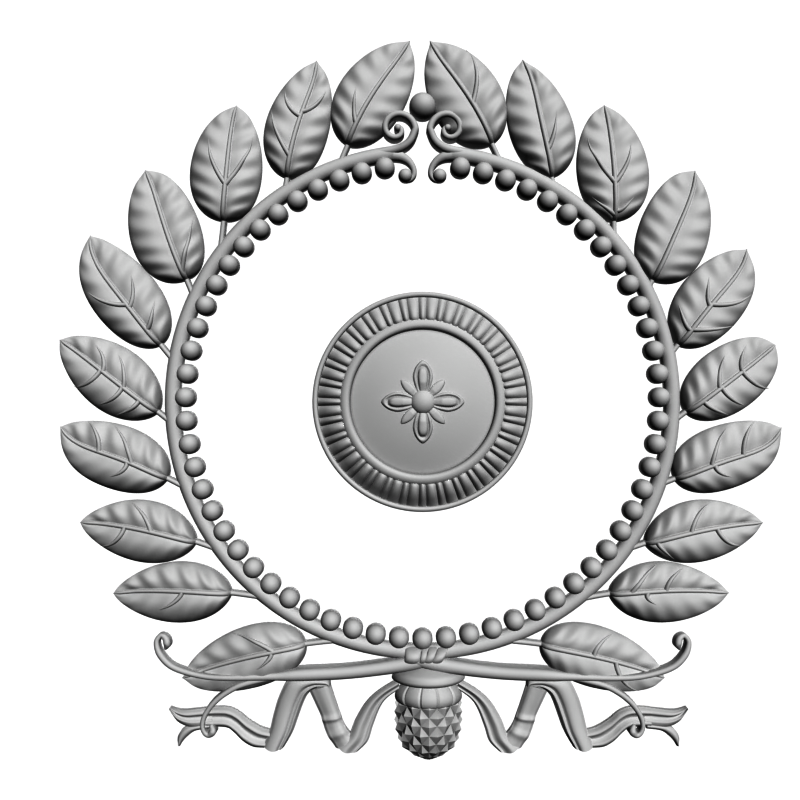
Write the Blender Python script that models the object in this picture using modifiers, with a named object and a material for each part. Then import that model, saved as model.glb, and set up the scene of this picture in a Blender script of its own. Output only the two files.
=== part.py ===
"""Carved wall onlay: a laurel wreath on a beaded ring, with a separate round rosette at its centre.

Everything is drawn flat, as on a carver's bench: x to the right, y up, z out towards the viewer,
with the ring's centre at the origin and the back in the plane z = 0. One empty then stands the bench
up, so that the front faces -Y, the top is +Z and the flat back lies in the plane Y = 0.
"""

import itertools
import math

import bmesh
import bpy
from mathutils import Matrix, Vector

MM = 0.001

# Driving dimensions, in metres unless they say otherwise.
RING_RADIUS = 0.2068          # middle of the ring's moulding
RING_HALF_WIDTH = 0.0063
RING_SKIRT = 0.0045           # straight side below the rounded top
RING_STEPS = 46

BEAD_COUNT = 61
BEAD_SPACING_DEG = 5.694
BEAD_CIRCLE = 0.1958
BEAD_RADIUS = 0.0082
BEAD_SKIRT = 0.0080
BEAD_SIDES = 6
RING_GAP_DEG = (360 - BEAD_COUNT * BEAD_SPACING_DEG) / 2    # clock angle where the ring begins

BALL_RADIUS = 0.0108
BALL_HEIGHT_UP = 0.2437       # centre of the ball above the ring's centre
BALL_SKIRT = 0.0085

LEAF_EDGE = 0.0020            # straight wall round a leaf
LEAF_DOME = 0.0152            # how far the blade swells above that wall, near its base
DOME_BASE_POWER = 0.30        # how fast the swelling rises from the base
DOME_TIP_POWER = 1.10         # and how fast it sinks to the tip
ARCH_POWERS = (1.5, 0.65)     # of the blade's cross section, which is nearly a ridge
LEAF_VALLEY = 0.0016          # dip beside the midrib
VALLEY_WIDTH = 0.30           # of the half blade
LEAF_RIB = 0.0024             # height of the midrib over that dip
STALK_HALF_WIDTH = 0.0021
STALK_HEIGHT = 0.0088
STALK_TAPER = 0.6             # part of its width and height the midrib loses towards the tip
STALK_UNDER_RING = 0.04       # how far a stalk runs on under the ring, as a part of the leaf

PENDANT_OFFSET = 0.0050       # the pine cone and ribbons hang this far right of the ring's axis
PENDANT_EDGE_DEG = 14.0       # the turned pendant's axis lies behind the back: the back cuts it here
# The collar and the lobed cap below it, as half width and height up in mm from the ring's centre.
COLLAR_SECTION = ((0.0, -213.8), (14.0, -218.5), (24.0, -222.3), (28.8, -225.0), (30.5, -228.4),
                  (28.6, -231.6), (23.0, -233.4))
CAP_SECTION = ((26.0, -237.0), (28.6, -243.2), (27.6, -247.5), (22.0, -250.4), (0.0, -250.6))
CAP_LOBES = 12
CAP_SEAM = 0.96               # radius in a seam between two lobes, against the radius on a lobe
# The pine cone's rows of studs: height up and half width at their points, in mm.
CONE_ROWS = ((-243.5, 26.5), (-250.1, 27.9), (-257.5, 28.4), (-264.3, 28.3), (-272.4, 27.6),
             (-279.9, 25.4), (-287.2, 21.8), (-292.9, 14.5), (-296.8, 6.5))
CONE_STUDS_AROUND = 12
STUD_HEIGHT = 3.4             # mm, of a full-sized stud over the corners between the studs
FULL_STUD_AT = 20.0           # mm, half width of a row below which its studs grow lower

# The rosette's section in mm, radius and height: the thin rim, the groove inside it, the fluted
# slope, the roll moulding and the domed dish.
RIM_SECTION = ((91.0, 5.2), (89.1, 7.0), (86.9, 5.4))
ROLL_AND_DISH_SECTION = ((68.8, 13.6), (63.0, 15.4), (59.4, 11.0), (32.0, 16.8), (0.0, 19.2))
FLUTE_PAIRS = 32              # a narrow and a wide convex flute in each
NARROW_FLUTE_DEG = 4.6
FLUTE_RISE = 1.1              # mm, of a flute's middle over the seams beside it
PETALS = 4                    # large ones, with a small one between each two
PETAL_ROOT = 0.0060           # where petals begin, under the ball
PETAL_REACH = 0.0342
PETAL_HALF_WIDTH = 0.0086
SMALL_PETAL_REACH = 0.0262
SMALL_PETAL_HALF_WIDTH = 0.0044
PETAL_LEVEL = 0.0196
SMALL_PETAL_LEVEL = 0.0188
PETAL_CROWN = 0.0016
PETAL_LIP = 0.0010
FLOWER_BALL_RADIUS = 0.0098
FLOWER_BALL_SKIRT = 0.0195
FLOWER_BALL_RISE = 0.0046
# Feet of the flower's members, inside the rosette's body.
PETAL_FOOT = 0.0060
SMALL_PETAL_FOOT = 0.0050
FLOWER_BALL_FOOT = 0.0040

LEVEL_FACETS_DEG = 3.0        # facets that meet more flatly than this become one

PRIMING_GREY = 0.42
PRIMING_ROUGHNESS = 0.55

# Members run behind the back plane before it is cut flat, each a little deeper than the last, so
# that no two of their feet lie in one plane.
FEET = (-0.0060 - 0.00005 * number for number in itertools.count())

# Each leaf: clock angles of root and tip in degrees, reach of the tip from the ring's centre, bow
# and hook of the midrib, half widths on its anticlockwise and clockwise sides (all in mm), the part
# of its length that is bare stalk, how blunt its base and its tip are on the two sides (low is
# blunt), and the part of the blade over which the very tip is drawn to a point.
LEAVES = {
    "left": (
        (-18.0, -2.0, 300.2, -3.4, 1.1, 29.7, 26.7, 0.09, 0.46, 0.60, 0.68, 0.78, 0.04),
        (-31.9, -17.2, 296.8, -1.7, 2.5, 27.3, 24.6, 0.04, 0.49, 0.50, 0.76, 0.75, 0.03),
        (-51.2, -32.1, 290.5, 0.3, -1.9, 32.3, 26.5, 0.14, 0.45, 0.45, 0.68, 0.63, 0.02),
        (-64.1, -50.1, 300.2, -0.4, 0.9, 32.7, 26.0, 0.08, 0.45, 0.44, 0.69, 0.55, 0.03),
        (-79.5, -63.4, 308.7, -3.2, -5.8, 26.4, 26.9, 0.09, 0.50, 0.55, 0.69, 0.84, 0.02),
        (-93.5, -80.3, 305.9, 1.1, 0.1, 28.3, 26.2, 0.07, 0.59, 0.57, 0.75, 0.74, 0.02),
        (-108.5, -93.9, 301.5, 0.9, -6.3, 27.7, 23.8, 0.09, 0.52, 0.50, 0.72, 0.79, 0.02),
        (-124.0, -109.4, 301.5, 4.6, -0.1, 28.1, 23.2, 0.10, 0.63, 0.60, 0.79, 0.76, 0.01),
        (-138.7, -121.8, 302.2, 4.3, 0.2, 27.9, 22.6, 0.15, 0.63, 0.55, 0.80, 0.75, 0.01),
        (-158.2, -139.0, 304.2, 5.1, 0.0, 27.9, 23.1, 0.14, 0.52, 0.41, 0.65, 0.65, 0.03),
    ),
    "right": (
        (16.8, 1.2, 300.2, 2.4, -1.6, 29.7, 29.2, 0.09, 0.52, 0.49, 0.84, 0.68, 0.05),
        (30.1, 16.3, 296.1, 0.4, 2.8, 25.1, 27.9, 0.01, 0.58, 0.52, 0.68, 0.96, 0.03),
        (47.9, 31.5, 289.2, 1.4, 1.2, 27.9, 31.5, 0.06, 0.53, 0.45, 0.64, 0.73, 0.02),
        (62.4, 49.7, 297.1, 1.5, 2.9, 27.7, 31.0, 0.02, 0.46, 0.45, 0.54, 0.84, 0.03),
        (78.1, 64.8, 298.0, 0.2, 4.7, 26.1, 27.2, 0.04, 0.56, 0.56, 0.73, 0.74, 0.03),
        (93.2, 80.8, 297.1, -0.4, 1.0, 26.7, 27.1, 0.06, 0.49, 0.51, 0.55, 0.57, 0.02),
        (108.0, 94.1, 299.2, 1.4, 7.2, 26.2, 24.9, 0.06, 0.48, 0.51, 0.73, 0.77, 0.03),
        (124.0, 109.5, 300.4, -4.2, 0.5, 24.1, 27.0, 0.07, 0.61, 0.67, 0.79, 0.85, 0.02),
        (139.1, 121.9, 300.3, -5.1, 0.5, 22.2, 28.2, 0.13, 0.58, 0.63, 0.81, 0.81, 0.02),
        (158.3, 138.7, 305.2, -5.1, 0.2, 23.2, 27.5, 0.15, 0.40, 0.52, 0.64, 0.64, 0.02),
    ),
}
HOOK_PEAK = 0.0819            # greatest value of s^4 (1 - s), so that a hook is given in true mm
LEAF_ROWS = (0.0, 0.10, 0.36, 0.66, 0.89, 1.0)
LEAF_COLUMNS = (-1.0, -0.66, -0.12, 0.0, 0.12, 0.66, 1.0)

# Paths of the right-hand scrolls, stem and tendril, in mm from the ring's centre: x, y, half width
# and level, which is how far the moulding is lifted off the back.
VOLUTE_CENTRE = (21.2, 223.6)
VOLUTE_START_RADIUS = 15.2
VOLUTE_END_RADIUS = 2.2
VOLUTE_TURN_DEG = 400
VOLUTE_HALF_WIDTHS = (2.8, 2.0)
VOLUTE_STEPS = 11
VOLUTE_LEVEL = 10.0
VOLUTE_LEAD_IN = ((44.0, 204.6, 3.0, 2.0), (24.0, 207.6, 3.4, 4.4), (15.8, 210.0, 3.3, 6.8),
                  (9.8, 215.0, 3.0, 8.8))
VOLUTE_EYE = (20.4, 224.7)
VOLUTE_EYE_RADIUS = 0.0029
VOLUTE_EYE_SKIRT = 0.0130
VOLUTE_EYE_RISE = 0.0030
LOWER_SCROLL = ((24.0, 203.6, 4.6, 3.0), (17.0, 202.2, 4.0, 3.0), (11.2, 198.6, 3.1, 3.0),
                (7.6, 193.4, 2.4, 3.0), (7.0, 188.2, 2.0, 3.0), (9.4, 184.2, 1.6, 3.0),
                (13.2, 182.6, 1.0, 3.0))
SCROLL_BEAD = (14.2, 187.2)
SCROLL_BEAD_RADIUS = 0.0056
SCROLL_BEAD_SKIRT = 0.0055
STEM = ((-14.0, -209.0, 5.4, 5.2), (15.3, -216.2, 5.6, 5.2), (60.0, -222.0, 5.2, 6.4),
        (100.0, -223.8, 4.8, 8.6), (123.3, -225.4, 3.0, 9.8), (161.2, -226.8, 2.3, 9.0),
        (183.6, -225.5, 2.2, 7.0), (205.4, -219.2, 2.5, 5.2), (216.4, -209.2, 2.7, 4.2),
        (219.8, -199.0, 2.2, 4.0), (216.4, -193.4, 2.0, 4.0), (212.2, -195.4, 2.7, 4.0),
        (211.0, -200.2, 2.9, 4.0), (212.8, -204.2, 1.2, 4.0))
TENDRIL = ((118.0, -225.2, 2.4, 8.6), (147.0, -232.4, 2.3, 8.0), (161.0, -239.2, 2.2, 7.2),
           (171.8, -247.8, 2.2, 6.6), (179.2, -258.0, 2.0, 6.4), (181.6, -266.4, 1.9, 6.4),
           (180.0, -272.4, 1.9, 6.4), (176.4, -274.6, 2.2, 6.4), (172.9, -271.4, 3.0, 6.4),
           (174.0, -267.4, 1.8, 6.4))
RIGHT_OVER_LEFT = 0.7         # mm, how far the right-hand stem and tendril lie over the left-hand ones

# The binding over the ring's foot: x of each strand's middle, its lean and its half width, in mm.
BINDING_STRANDS = ((-8.2, 0.8, 6.5), (0.4, 1.8, 2.4), (5.9, 3.2, 3.4), (13.2, 4.5, 4.2))
BINDING_TOP_Y = -201.2
BINDING_FOOT_Y = -217.6
BINDING_HEIGHT = 17.5
BINDING_ROWS = (-1.0, -0.8, -0.3, 0.3, 0.8, 1.0)
BINDING_COLUMNS = (-1.0, -0.6, 0.6, 1.0)

# Ribbon strips on the right, from the pendant's axis outwards: two edges (x, y in mm) and the
# heights of the strip at its start, middle and end.
RIBBON_STRIPS = {
    "rise": (((25.0, -229.6), (40.5, -238.9), (51.6, -249.1), (60.4, -263.4), (66.2, -276.6),
              (75.6, -284.8)),
             ((24.0, -238.0), (34.3, -245.3), (40.2, -253.4), (46.0, -268.2), (50.2, -280.6),
              (58.2, -288.6)), (6.0, 6.5, 8.0)),
    "back": (((81.5, -233.6), (77.9, -245.1), (73.2, -258.7), (69.5, -268.0), (62.0, -278.0)),
             ((98.8, -239.0), (93.2, -251.4), (88.9, -261.4), (85.0, -273.6), (76.8, -286.4)),
             (7.0, 5.5, 7.0)),
    "front": (((81.0, -234.2), (83.9, -228.3), (101.6, -226.2), (115.4, -229.3), (123.4, -242.9),
               (128.0, -257.6), (131.2, -270.9), (136.5, -283.7)),
              ((81.6, -235.8), (86.1, -235.2), (93.1, -235.9), (99.3, -240.6), (103.3, -248.2),
               (107.5, -259.7), (112.1, -272.1), (119.2, -284.2)), (8.0, 10.5, 9.5, 11.0)),
    "tail": (((128.0, -272.4), (138.4, -269.6), (148.9, -263.5), (158.2, -256.2), (168.1, -252.8),
              (184.0, -253.2)),
             ((136.2, -286.5), (145.6, -285.6), (153.8, -281.0), (161.3, -273.8), (168.1, -269.8),
              (184.0, -269.4)), (7.5, 7.0, 6.5)),
    "upper_tip": (((178.9, -253.0), (192.1, -254.4), (202.0, -255.3), (208.6, -254.5), (213.8, -252.8)),
                  ((178.9, -269.6), (189.6, -270.1), (198.5, -268.9), (208.4, -264.2), (215.2, -254.8)),
                  (6.2, 7.5, 5.0)),
    "lower_tip": (((180.6, -266.0), (195.6, -267.8), (203.1, -270.6), (207.6, -277.0), (207.8, -284.2)),
                  ((180.6, -270.4), (192.3, -272.0), (198.5, -276.0), (203.1, -280.7), (206.2, -285.4)),
                  (6.2, 6.0, 4.5)),
}
RIBBON_STEPS = {"rise": 4, "back": 3, "front": 6, "tail": 3, "upper_tip": 3, "lower_tip": 3}
RIBBON_WIDTH_STEPS = 3
ROUND_FEET = ("rise", "back", "front")
FOOT_ROUND = 3.0              # mm, how far the middle of a round foot hangs below its corners
RIBBON_PLEAT = 0.9            # mm, depth of the soft fold along a strip
RIBBON_ROUND = 1.6            # mm, how far a strip's edges fall away


def clear_scene():
    for thing in list(bpy.data.objects):
        bpy.data.objects.remove(thing)


def new_collection(name):
    collection = bpy.data.collections.new(name)
    bpy.context.scene.collection.children.link(collection)
    return collection


def priming_grey(name, value, roughness):
    """An even grey priming coat."""
    material = bpy.data.materials.new(name)
    material.use_nodes = True
    shader = material.node_tree.nodes["Principled BSDF"]
    shader.inputs["Base Color"].default_value = (value, value, value, 1.0)
    shader.inputs["Roughness"].default_value = roughness
    shader.inputs["Metallic"].default_value = 0.0
    return material


def on_clock(angle_deg, radius):
    """Point at a clock angle, clockwise from the top of the ring."""
    angle = math.radians(angle_deg)
    return Vector((radius * math.sin(angle), radius * math.cos(angle)))


def along_smooth(points, share):
    """Point a share of the way along a Catmull-Rom curve through the given points."""
    spans = len(points) - 1
    place = min(max(share, 0.0), 1.0) * spans
    first = min(int(place), spans - 1)
    t = place - first
    before = points[max(first - 1, 0)]
    start = points[first]
    end = points[first + 1]
    after = points[min(first + 2, spans)]
    return tuple(
        b + 0.5 * t * ((c - a) + t * (2 * a - 5 * b + 4 * c - d) + t * t * (3 * b - a - 3 * c + d))
        for a, b, c, d in zip(before, start, end, after)
    )


def object_from_bmesh(name, bm, collection, bench):
    """Turns the faces outwards, makes bent facets flat, stores the mesh and puts it on the bench."""
    bmesh.ops.recalc_face_normals(bm, faces=bm.faces)
    bmesh.ops.connect_verts_nonplanar(bm, angle_limit=0.001, faces=bm.faces)
    mesh = bpy.data.meshes.new(name)
    bm.to_mesh(mesh)
    bm.free()
    thing = bpy.data.objects.new(name, mesh)
    collection.objects.link(thing)
    thing.parent = bench
    return thing


def as_guide(thing):
    thing.hide_render = True
    thing.display_type = "WIRE"


def relief_patch(name, rows, columns, surface, collection, bench, foot=None):
    """A carved surface over a grid, closed by walls down behind the back plane.

    rows and columns are the grid's parameters, and surface gives the point for a pair of them.
    """
    bm = bmesh.new()
    bmesh.ops.create_grid(bm, x_segments=len(columns) - 1, y_segments=len(rows) - 1, size=1.0)
    bm.verts.ensure_lookup_table()
    for vert in bm.verts:
        column = round((vert.co.x + 1) / 2 * (len(columns) - 1))
        row = round((vert.co.y + 1) / 2 * (len(rows) - 1))
        vert.co = surface(rows[row], columns[column])
    foot = next(FEET) if foot is None else foot
    rim = [edge for edge in bm.edges if edge.is_boundary]
    walls = bmesh.ops.extrude_edge_only(bm, edges=rim)["geom"]
    for vert in walls:
        if isinstance(vert, bmesh.types.BMVert):
            vert.co.z = foot
    bmesh.ops.holes_fill(bm, edges=[edge for edge in bm.edges if edge.is_boundary])
    bmesh.ops.remove_doubles(bm, verts=bm.verts, dist=0.00005)
    return object_from_bmesh(name, bm, collection, bench)


def dished_profile(half_width, skirt, crown, steps, foot=None):
    """Half of a moulding's section, from its foot up the side and over the top, as (across, up)."""
    section = [(half_width, next(FEET) if foot is None else foot)]
    for step in range(steps + 1):
        turn = math.pi / 2 * step / steps
        section.append((half_width * math.cos(turn), skirt + crown * math.sin(turn)))
    return section


def turned(name, section, sides, place, collection, bench):
    """A boss turned about the z axis from a section that ends on the axis."""
    mesh = bpy.data.meshes.new(name)
    points = [(across, 0.0, up) for across, up in reversed(section)]
    points.append((0.0, 0.0, section[0][1]))
    mesh.from_pydata(points, [(i, i + 1) for i in range(len(points) - 1)], [])
    thing = bpy.data.objects.new(name, mesh)
    collection.objects.link(thing)
    screw = thing.modifiers.new("turn", "SCREW")
    screw.steps = sides
    screw.render_steps = sides
    screw.use_merge_vertices = True
    screw.merge_threshold = 0.00001
    thing.location = (place[0], place[1], 0.0)
    thing.parent = bench
    return thing


def moulded_run(name, path, skirt_ratio, lift, collection, bench):
    """A round-topped moulding along a path of (x, y, half width, level) in mm, closed at both ends.

    The section is drawn for a half width of one and scales with it. lift raises the whole run.
    """
    profile = bpy.data.curves.new(name + "_section", "CURVE")
    profile.dimensions = "2D"
    outline = profile.splines.new("POLY")
    corners = [(-1.0, -4.0), (-1.0, skirt_ratio), (-0.45, skirt_ratio + 0.88),
               (0.45, skirt_ratio + 0.88), (1.0, skirt_ratio), (1.0, -4.0)]
    outline.points.add(len(corners) - 1)
    for point, corner in zip(outline.points, corners):
        point.co = (corner[0], corner[1], 0.0, 1.0)
    outline.use_cyclic_u = True
    section = bpy.data.objects.new(name + "_section", profile)
    collection.objects.link(section)

    curve = bpy.data.curves.new(name, "CURVE")
    curve.dimensions = "3D"
    curve.twist_mode = "Z_UP"
    run = curve.splines.new("POLY")
    run.points.add(len(path) - 1)
    for point, (x, y, half_width, level) in zip(run.points, path):
        point.co = (x * MM, y * MM, (level + lift) * MM, 1.0)
        point.radius = half_width * MM
    curve.bevel_mode = "OBJECT"
    curve.bevel_object = section
    curve.use_fill_caps = True
    line = bpy.data.objects.new(name, curve)
    collection.objects.link(line)

    bpy.context.view_layer.update()
    solid = bpy.data.meshes.new_from_object(line.evaluated_get(bpy.context.evaluated_depsgraph_get()))
    bm = bmesh.new()
    bm.from_mesh(solid)
    bmesh.ops.remove_doubles(bm, verts=bm.verts, dist=0.00001)
    bpy.data.objects.remove(line)
    bpy.data.objects.remove(section)
    return object_from_bmesh(name, bm, collection, bench)


def smooth_path(points, steps):
    return [along_smooth(points, step / steps) for step in range(steps + 1)]


def mirrored(path, side):
    return [(side * point[0], *point[1:]) for point in path]


def make_ring(collection, bench):
    """Half-round moulding on a straight skirt, swept round the ring and open at the top."""
    bm = bmesh.new()
    foot = next(FEET)
    section = [(RING_HALF_WIDTH, foot)]
    for turn in (0, 60, 120, 180):
        across = RING_HALF_WIDTH * math.cos(math.radians(turn))
        section.append((across, RING_SKIRT + RING_HALF_WIDTH * math.sin(math.radians(turn))))
    section.append((-RING_HALF_WIDTH, foot))
    start = on_clock(RING_GAP_DEG, 1.0)
    verts = []
    for across, up in section:
        reach = RING_RADIUS + across
        verts.append(bm.verts.new((start.x * reach, start.y * reach, up)))
    face = bm.faces.new(verts)
    bmesh.ops.spin(
        bm,
        geom=[face] + list(face.edges) + verts,
        cent=(0.0, 0.0, 0.0),
        axis=(0.0, 0.0, -1.0),
        angle=math.radians(360 - 2 * RING_GAP_DEG),
        steps=RING_STEPS,
        use_duplicate=False,
    )
    return object_from_bmesh("laurel_wreath", bm, collection, bench)


def make_beads(collection, bench):
    for number in range(BEAD_COUNT):
        section = dished_profile(BEAD_RADIUS, BEAD_SKIRT, BEAD_RADIUS, 2)
        angle = 180 + (number - (BEAD_COUNT - 1) / 2) * BEAD_SPACING_DEG
        place = on_clock(angle, BEAD_CIRCLE)
        bead = turned(f"bead_{number + 1:02d}", section, BEAD_SIDES, place, collection, bench)
        bead.rotation_euler.z = -math.radians(angle) + math.pi / BEAD_SIDES


def leaf_surface(leaf):
    """The surface of one leaf and its stalk: t runs from the blade's base to its tip, v across it."""
    root_deg, tip_deg, reach, bow, hook, *blade_sizes = leaf
    anticlockwise, clockwise, stalk = blade_sizes[:3]
    anticlockwise_base, clockwise_base, anticlockwise_tip, clockwise_tip, blunting = blade_sizes[3:]
    root = on_clock(root_deg, RING_RADIUS + RING_HALF_WIDTH)
    tip = on_clock(tip_deg, reach * MM)
    length = (tip - root).length
    ahead = (tip - root) / length
    right = Vector((ahead.y, -ahead.x))

    def swelling(t, base_power, end_power):
        """A curve that rises from 0 at the base to 1 and sinks to 0 at the tip."""
        if t <= 0.0 or t >= 1.0:
            return 0.0
        top = base_power / (base_power + end_power)
        return (t / top) ** base_power * ((1 - t) / (1 - top)) ** end_power

    def surface(t, v):
        s = stalk + t * (1 - stalk)
        hooked = hook * max(s, 0.0) ** 4 * (1 - s) / HOOK_PEAK
        aside = bow * 4 * s * (1 - s) + hooked
        middle = root + ahead * length * s + right * aside * MM
        if v > 0:
            blade_wide = clockwise * swelling(t, clockwise_base, clockwise_tip)
        else:
            blade_wide = anticlockwise * swelling(t, anticlockwise_base, anticlockwise_tip)
        blade_wide *= 1 - math.exp(min(t - 1, 0.0) / blunting)
        inside_hook = abs(hooked) if v * hooked < 0 else 0.0
        taper = 1 - STALK_TAPER * max(t, 0.0) if t < 1.0 else 0.0
        stalk_wide = STALK_HALF_WIDTH * taper
        wide = max((blade_wide + inside_hook) * MM, stalk_wide)
        dome = LEAF_DOME * swelling(t, DOME_BASE_POWER, DOME_TIP_POWER)
        ridge, edge = ARCH_POWERS
        arch = max(1 - abs(v) ** ridge, 0.0) ** edge
        valley = min(LEAF_VALLEY, 0.5 * dome) * math.exp(-(v / VALLEY_WIDTH) ** 2)
        stalk_up = STALK_HEIGHT - LEAF_EDGE if t <= 0.0 else 0.0
        rib = LEAF_RIB * taper if v == 0.0 else 0.0
        place = middle + right * v * wide
        return (place.x, place.y, LEAF_EDGE + (dome + stalk_up) * arch - valley + rib)

    return surface


def make_leaves(collection, bench):
    for side, rows in LEAVES.items():
        for number, leaf in enumerate(rows):
            stalk = leaf[7]
            rows_along = [-stalk / (1 - stalk) - STALK_UNDER_RING] + list(LEAF_ROWS)
            name = f"leaf_{side}_{number + 1:02d}"
            relief_patch(name, rows_along, LEAF_COLUMNS, leaf_surface(leaf), collection, bench)


def make_scrolls(collection, bench):
    """Two volutes and two small curls where the ring's ends part at the top, and the ball between."""
    for side, name in ((-1, "left"), (1, "right")):
        wide, narrow = VOLUTE_HALF_WIDTHS
        spiral = []
        for step in range(VOLUTE_STEPS + 1):
            share = step / VOLUTE_STEPS
            angle = math.pi - math.radians(VOLUTE_TURN_DEG) * share
            radius = VOLUTE_START_RADIUS + (VOLUTE_END_RADIUS - VOLUTE_START_RADIUS) * share
            spiral.append((
                VOLUTE_CENTRE[0] + radius * math.cos(angle),
                VOLUTE_CENTRE[1] + radius * math.sin(angle),
                wide + (narrow - wide) * share,
                VOLUTE_LEVEL,
            ))
        volute = mirrored(list(VOLUTE_LEAD_IN) + spiral, side)
        moulded_run(f"volute_{name}", volute, 1.3, 0.0, collection, bench)
        curl = mirrored(smooth_path(LOWER_SCROLL, 7), side)
        moulded_run(f"curl_{name}", curl, 0.8, 0.0, collection, bench)
        eye = dished_profile(VOLUTE_EYE_RADIUS, VOLUTE_EYE_SKIRT, VOLUTE_EYE_RISE, 2)
        place = (side * VOLUTE_EYE[0] * MM, VOLUTE_EYE[1] * MM)
        turned(f"volute_eye_{name}", eye, 8, place, collection, bench)
        bead = dished_profile(SCROLL_BEAD_RADIUS, SCROLL_BEAD_SKIRT, SCROLL_BEAD_RADIUS, 2)
        place = (side * SCROLL_BEAD[0] * MM, SCROLL_BEAD[1] * MM)
        turned(f"curl_bead_{name}", bead, 8, place, collection, bench)
    ball = dished_profile(BALL_RADIUS, BALL_SKIRT, BALL_RADIUS, 3)
    turned("top_ball", ball, 12, (0.0, BALL_HEIGHT_UP), collection, bench)


def make_stems(collection, bench):
    """The two stem ends that cross under the binding, with their curled tips and tendrils."""
    for side, name, lift in ((-1, "left", 0.0), (1, "right", RIGHT_OVER_LEFT)):
        stem = mirrored(smooth_path(STEM, 14), side)
        moulded_run(f"stem_{name}", stem, 0.9, lift, collection, bench)
        tendril = mirrored(smooth_path(TENDRIL, 10), side)
        moulded_run(f"tendril_{name}", tendril, 0.9, lift, collection, bench)


def binding_surface(x, lean, half_width):
    middle = (BINDING_TOP_Y + BINDING_FOOT_Y) / 2
    reach = (BINDING_TOP_Y - BINDING_FOOT_Y) / 2

    def surface(t, v):
        over = BINDING_HEIGHT * math.sqrt(1.1 - t * t)
        rounded = half_width * 0.6 * (math.sqrt(1.05 - v * v) - 1)
        return ((x + lean * t + half_width * v) * MM, (middle + reach * t) * MM, (over + rounded) * MM)

    return surface


def make_binding(collection, bench):
    """Leaning strands wrapped over the ring's foot."""
    for number, strand in enumerate(BINDING_STRANDS):
        over = binding_surface(*strand)
        relief_patch(f"binding_{number + 1}", BINDING_ROWS, BINDING_COLUMNS, over, collection, bench)


def ribbon_surface(strip, side):
    first, second, levels = RIBBON_STRIPS[strip]
    hang = FOOT_ROUND if strip in ROUND_FEET else 0.0

    def surface(t, v):
        a = along_smooth(first, t)
        b = along_smooth(second, t)
        level = along_smooth([(h,) for h in levels], t)[0]
        fallen = RIBBON_ROUND * (2 * v - 1) ** 4
        pleat = -RIBBON_PLEAT * math.cos(4 * math.pi * v)
        x = a[0] + (b[0] - a[0]) * v
        y = a[1] + (b[1] - a[1]) * v - hang * t ** 10 * (1 - (2 * v - 1) ** 2)
        return (PENDANT_OFFSET + side * x * MM, y * MM, (level - fallen + pleat) * MM)

    return surface


def make_ribbons(collection, bench):
    """The folded ribbons that fall to both sides of the pine cone."""
    columns = [step / RIBBON_WIDTH_STEPS for step in range(RIBBON_WIDTH_STEPS + 1)]
    for side, name in ((-1, "left"), (1, "right")):
        for strip, steps in RIBBON_STEPS.items():
            rows = [step / steps for step in range(steps + 1)]
            surface = ribbon_surface(strip, side)
            relief_patch(f"ribbon_{name}_{strip}", rows, columns, surface, collection, bench)


def make_collar(collection, bench):
    """The collar and the lobed cap: one turned form, set into the back."""
    bm = bmesh.new()
    section = COLLAR_SECTION + CAP_SECTION
    verts = [bm.verts.new((across * MM, up * MM, 0.0)) for across, up in section]
    edges = [bm.edges.new(pair) for pair in zip(verts, verts[1:])]
    sides = 2 * CAP_LOBES
    cap_top = (COLLAR_SECTION[-1][1] + CAP_SECTION[0][1]) / 2 * MM
    bmesh.ops.spin(bm, geom=verts + edges, axis=(0.0, 1.0, 0.0), angle=math.tau, steps=sides, use_merge=True)
    bmesh.ops.remove_doubles(bm, verts=bm.verts, dist=0.00001)
    for vert in bm.verts:
        if vert.co.y < cap_top:
            step = round(math.atan2(vert.co.z, vert.co.x) / math.tau * sides)
            shrink = CAP_SEAM if step % 2 else 1.0
            vert.co.x *= shrink
            vert.co.z *= shrink
    set_into_back(bm)
    return object_from_bmesh("pendant_collar", bm, collection, bench)


def set_into_back(bm):
    """Sets a turned form into the back, so that its given half widths are those at the back."""
    edge = math.radians(PENDANT_EDGE_DEG)
    for vert in bm.verts:
        radius = math.hypot(vert.co.x, vert.co.z)
        vert.co.x = vert.co.x / math.cos(edge) + PENDANT_OFFSET
        vert.co.z = (vert.co.z - radius * math.sin(edge)) / math.cos(edge)


def make_cone(collection, bench):
    """The pine cone: rows of four-sided studs, each row half a stud round from the last."""
    bm = bmesh.new()
    columns = 2 * CONE_STUDS_AROUND

    def ring_point(row, column):
        """A stud's point, or a corner between studs."""
        up, half_width = CONE_ROWS[row]
        is_point = (row + column) % 2 == 1
        lift = STUD_HEIGHT * min(half_width / FULL_STUD_AT, 1.0) if is_point else 0.0
        reach = (half_width - STUD_HEIGHT + lift) * MM
        angle = math.tau * column / columns
        return bm.verts.new((reach * math.cos(angle), up * MM, reach * math.sin(angle)))

    rings = [[ring_point(row, column) for column in range(columns)] for row in range(len(CONE_ROWS))]
    for row, (upper, lower) in enumerate(zip(rings, rings[1:])):
        for column in range(columns):
            following = (column + 1) % columns
            a, b, c, d = upper[column], upper[following], lower[following], lower[column]
            if (row + column) % 2 == 1:
                bm.faces.new((a, b, d))
                bm.faces.new((b, c, d))
            else:
                bm.faces.new((a, b, c))
                bm.faces.new((a, c, d))
    for ring in (rings[0], rings[-1]):
        hub = bm.verts.new((0.0, ring[0].co.y, 0.0))
        for column in range(columns):
            bm.faces.new((ring[column], ring[(column + 1) % columns], hub))
    set_into_back(bm)
    return object_from_bmesh("pine_cone", bm, collection, bench)


def cutting_block(name, collection, bench):
    """Everything behind the back plane."""
    bm = bmesh.new()
    bmesh.ops.create_cube(bm, size=1.0, matrix=Matrix.Translation((0.0, 0.0, -0.5)))
    block = object_from_bmesh(name, bm, collection, bench)
    as_guide(block)
    return block


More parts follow.
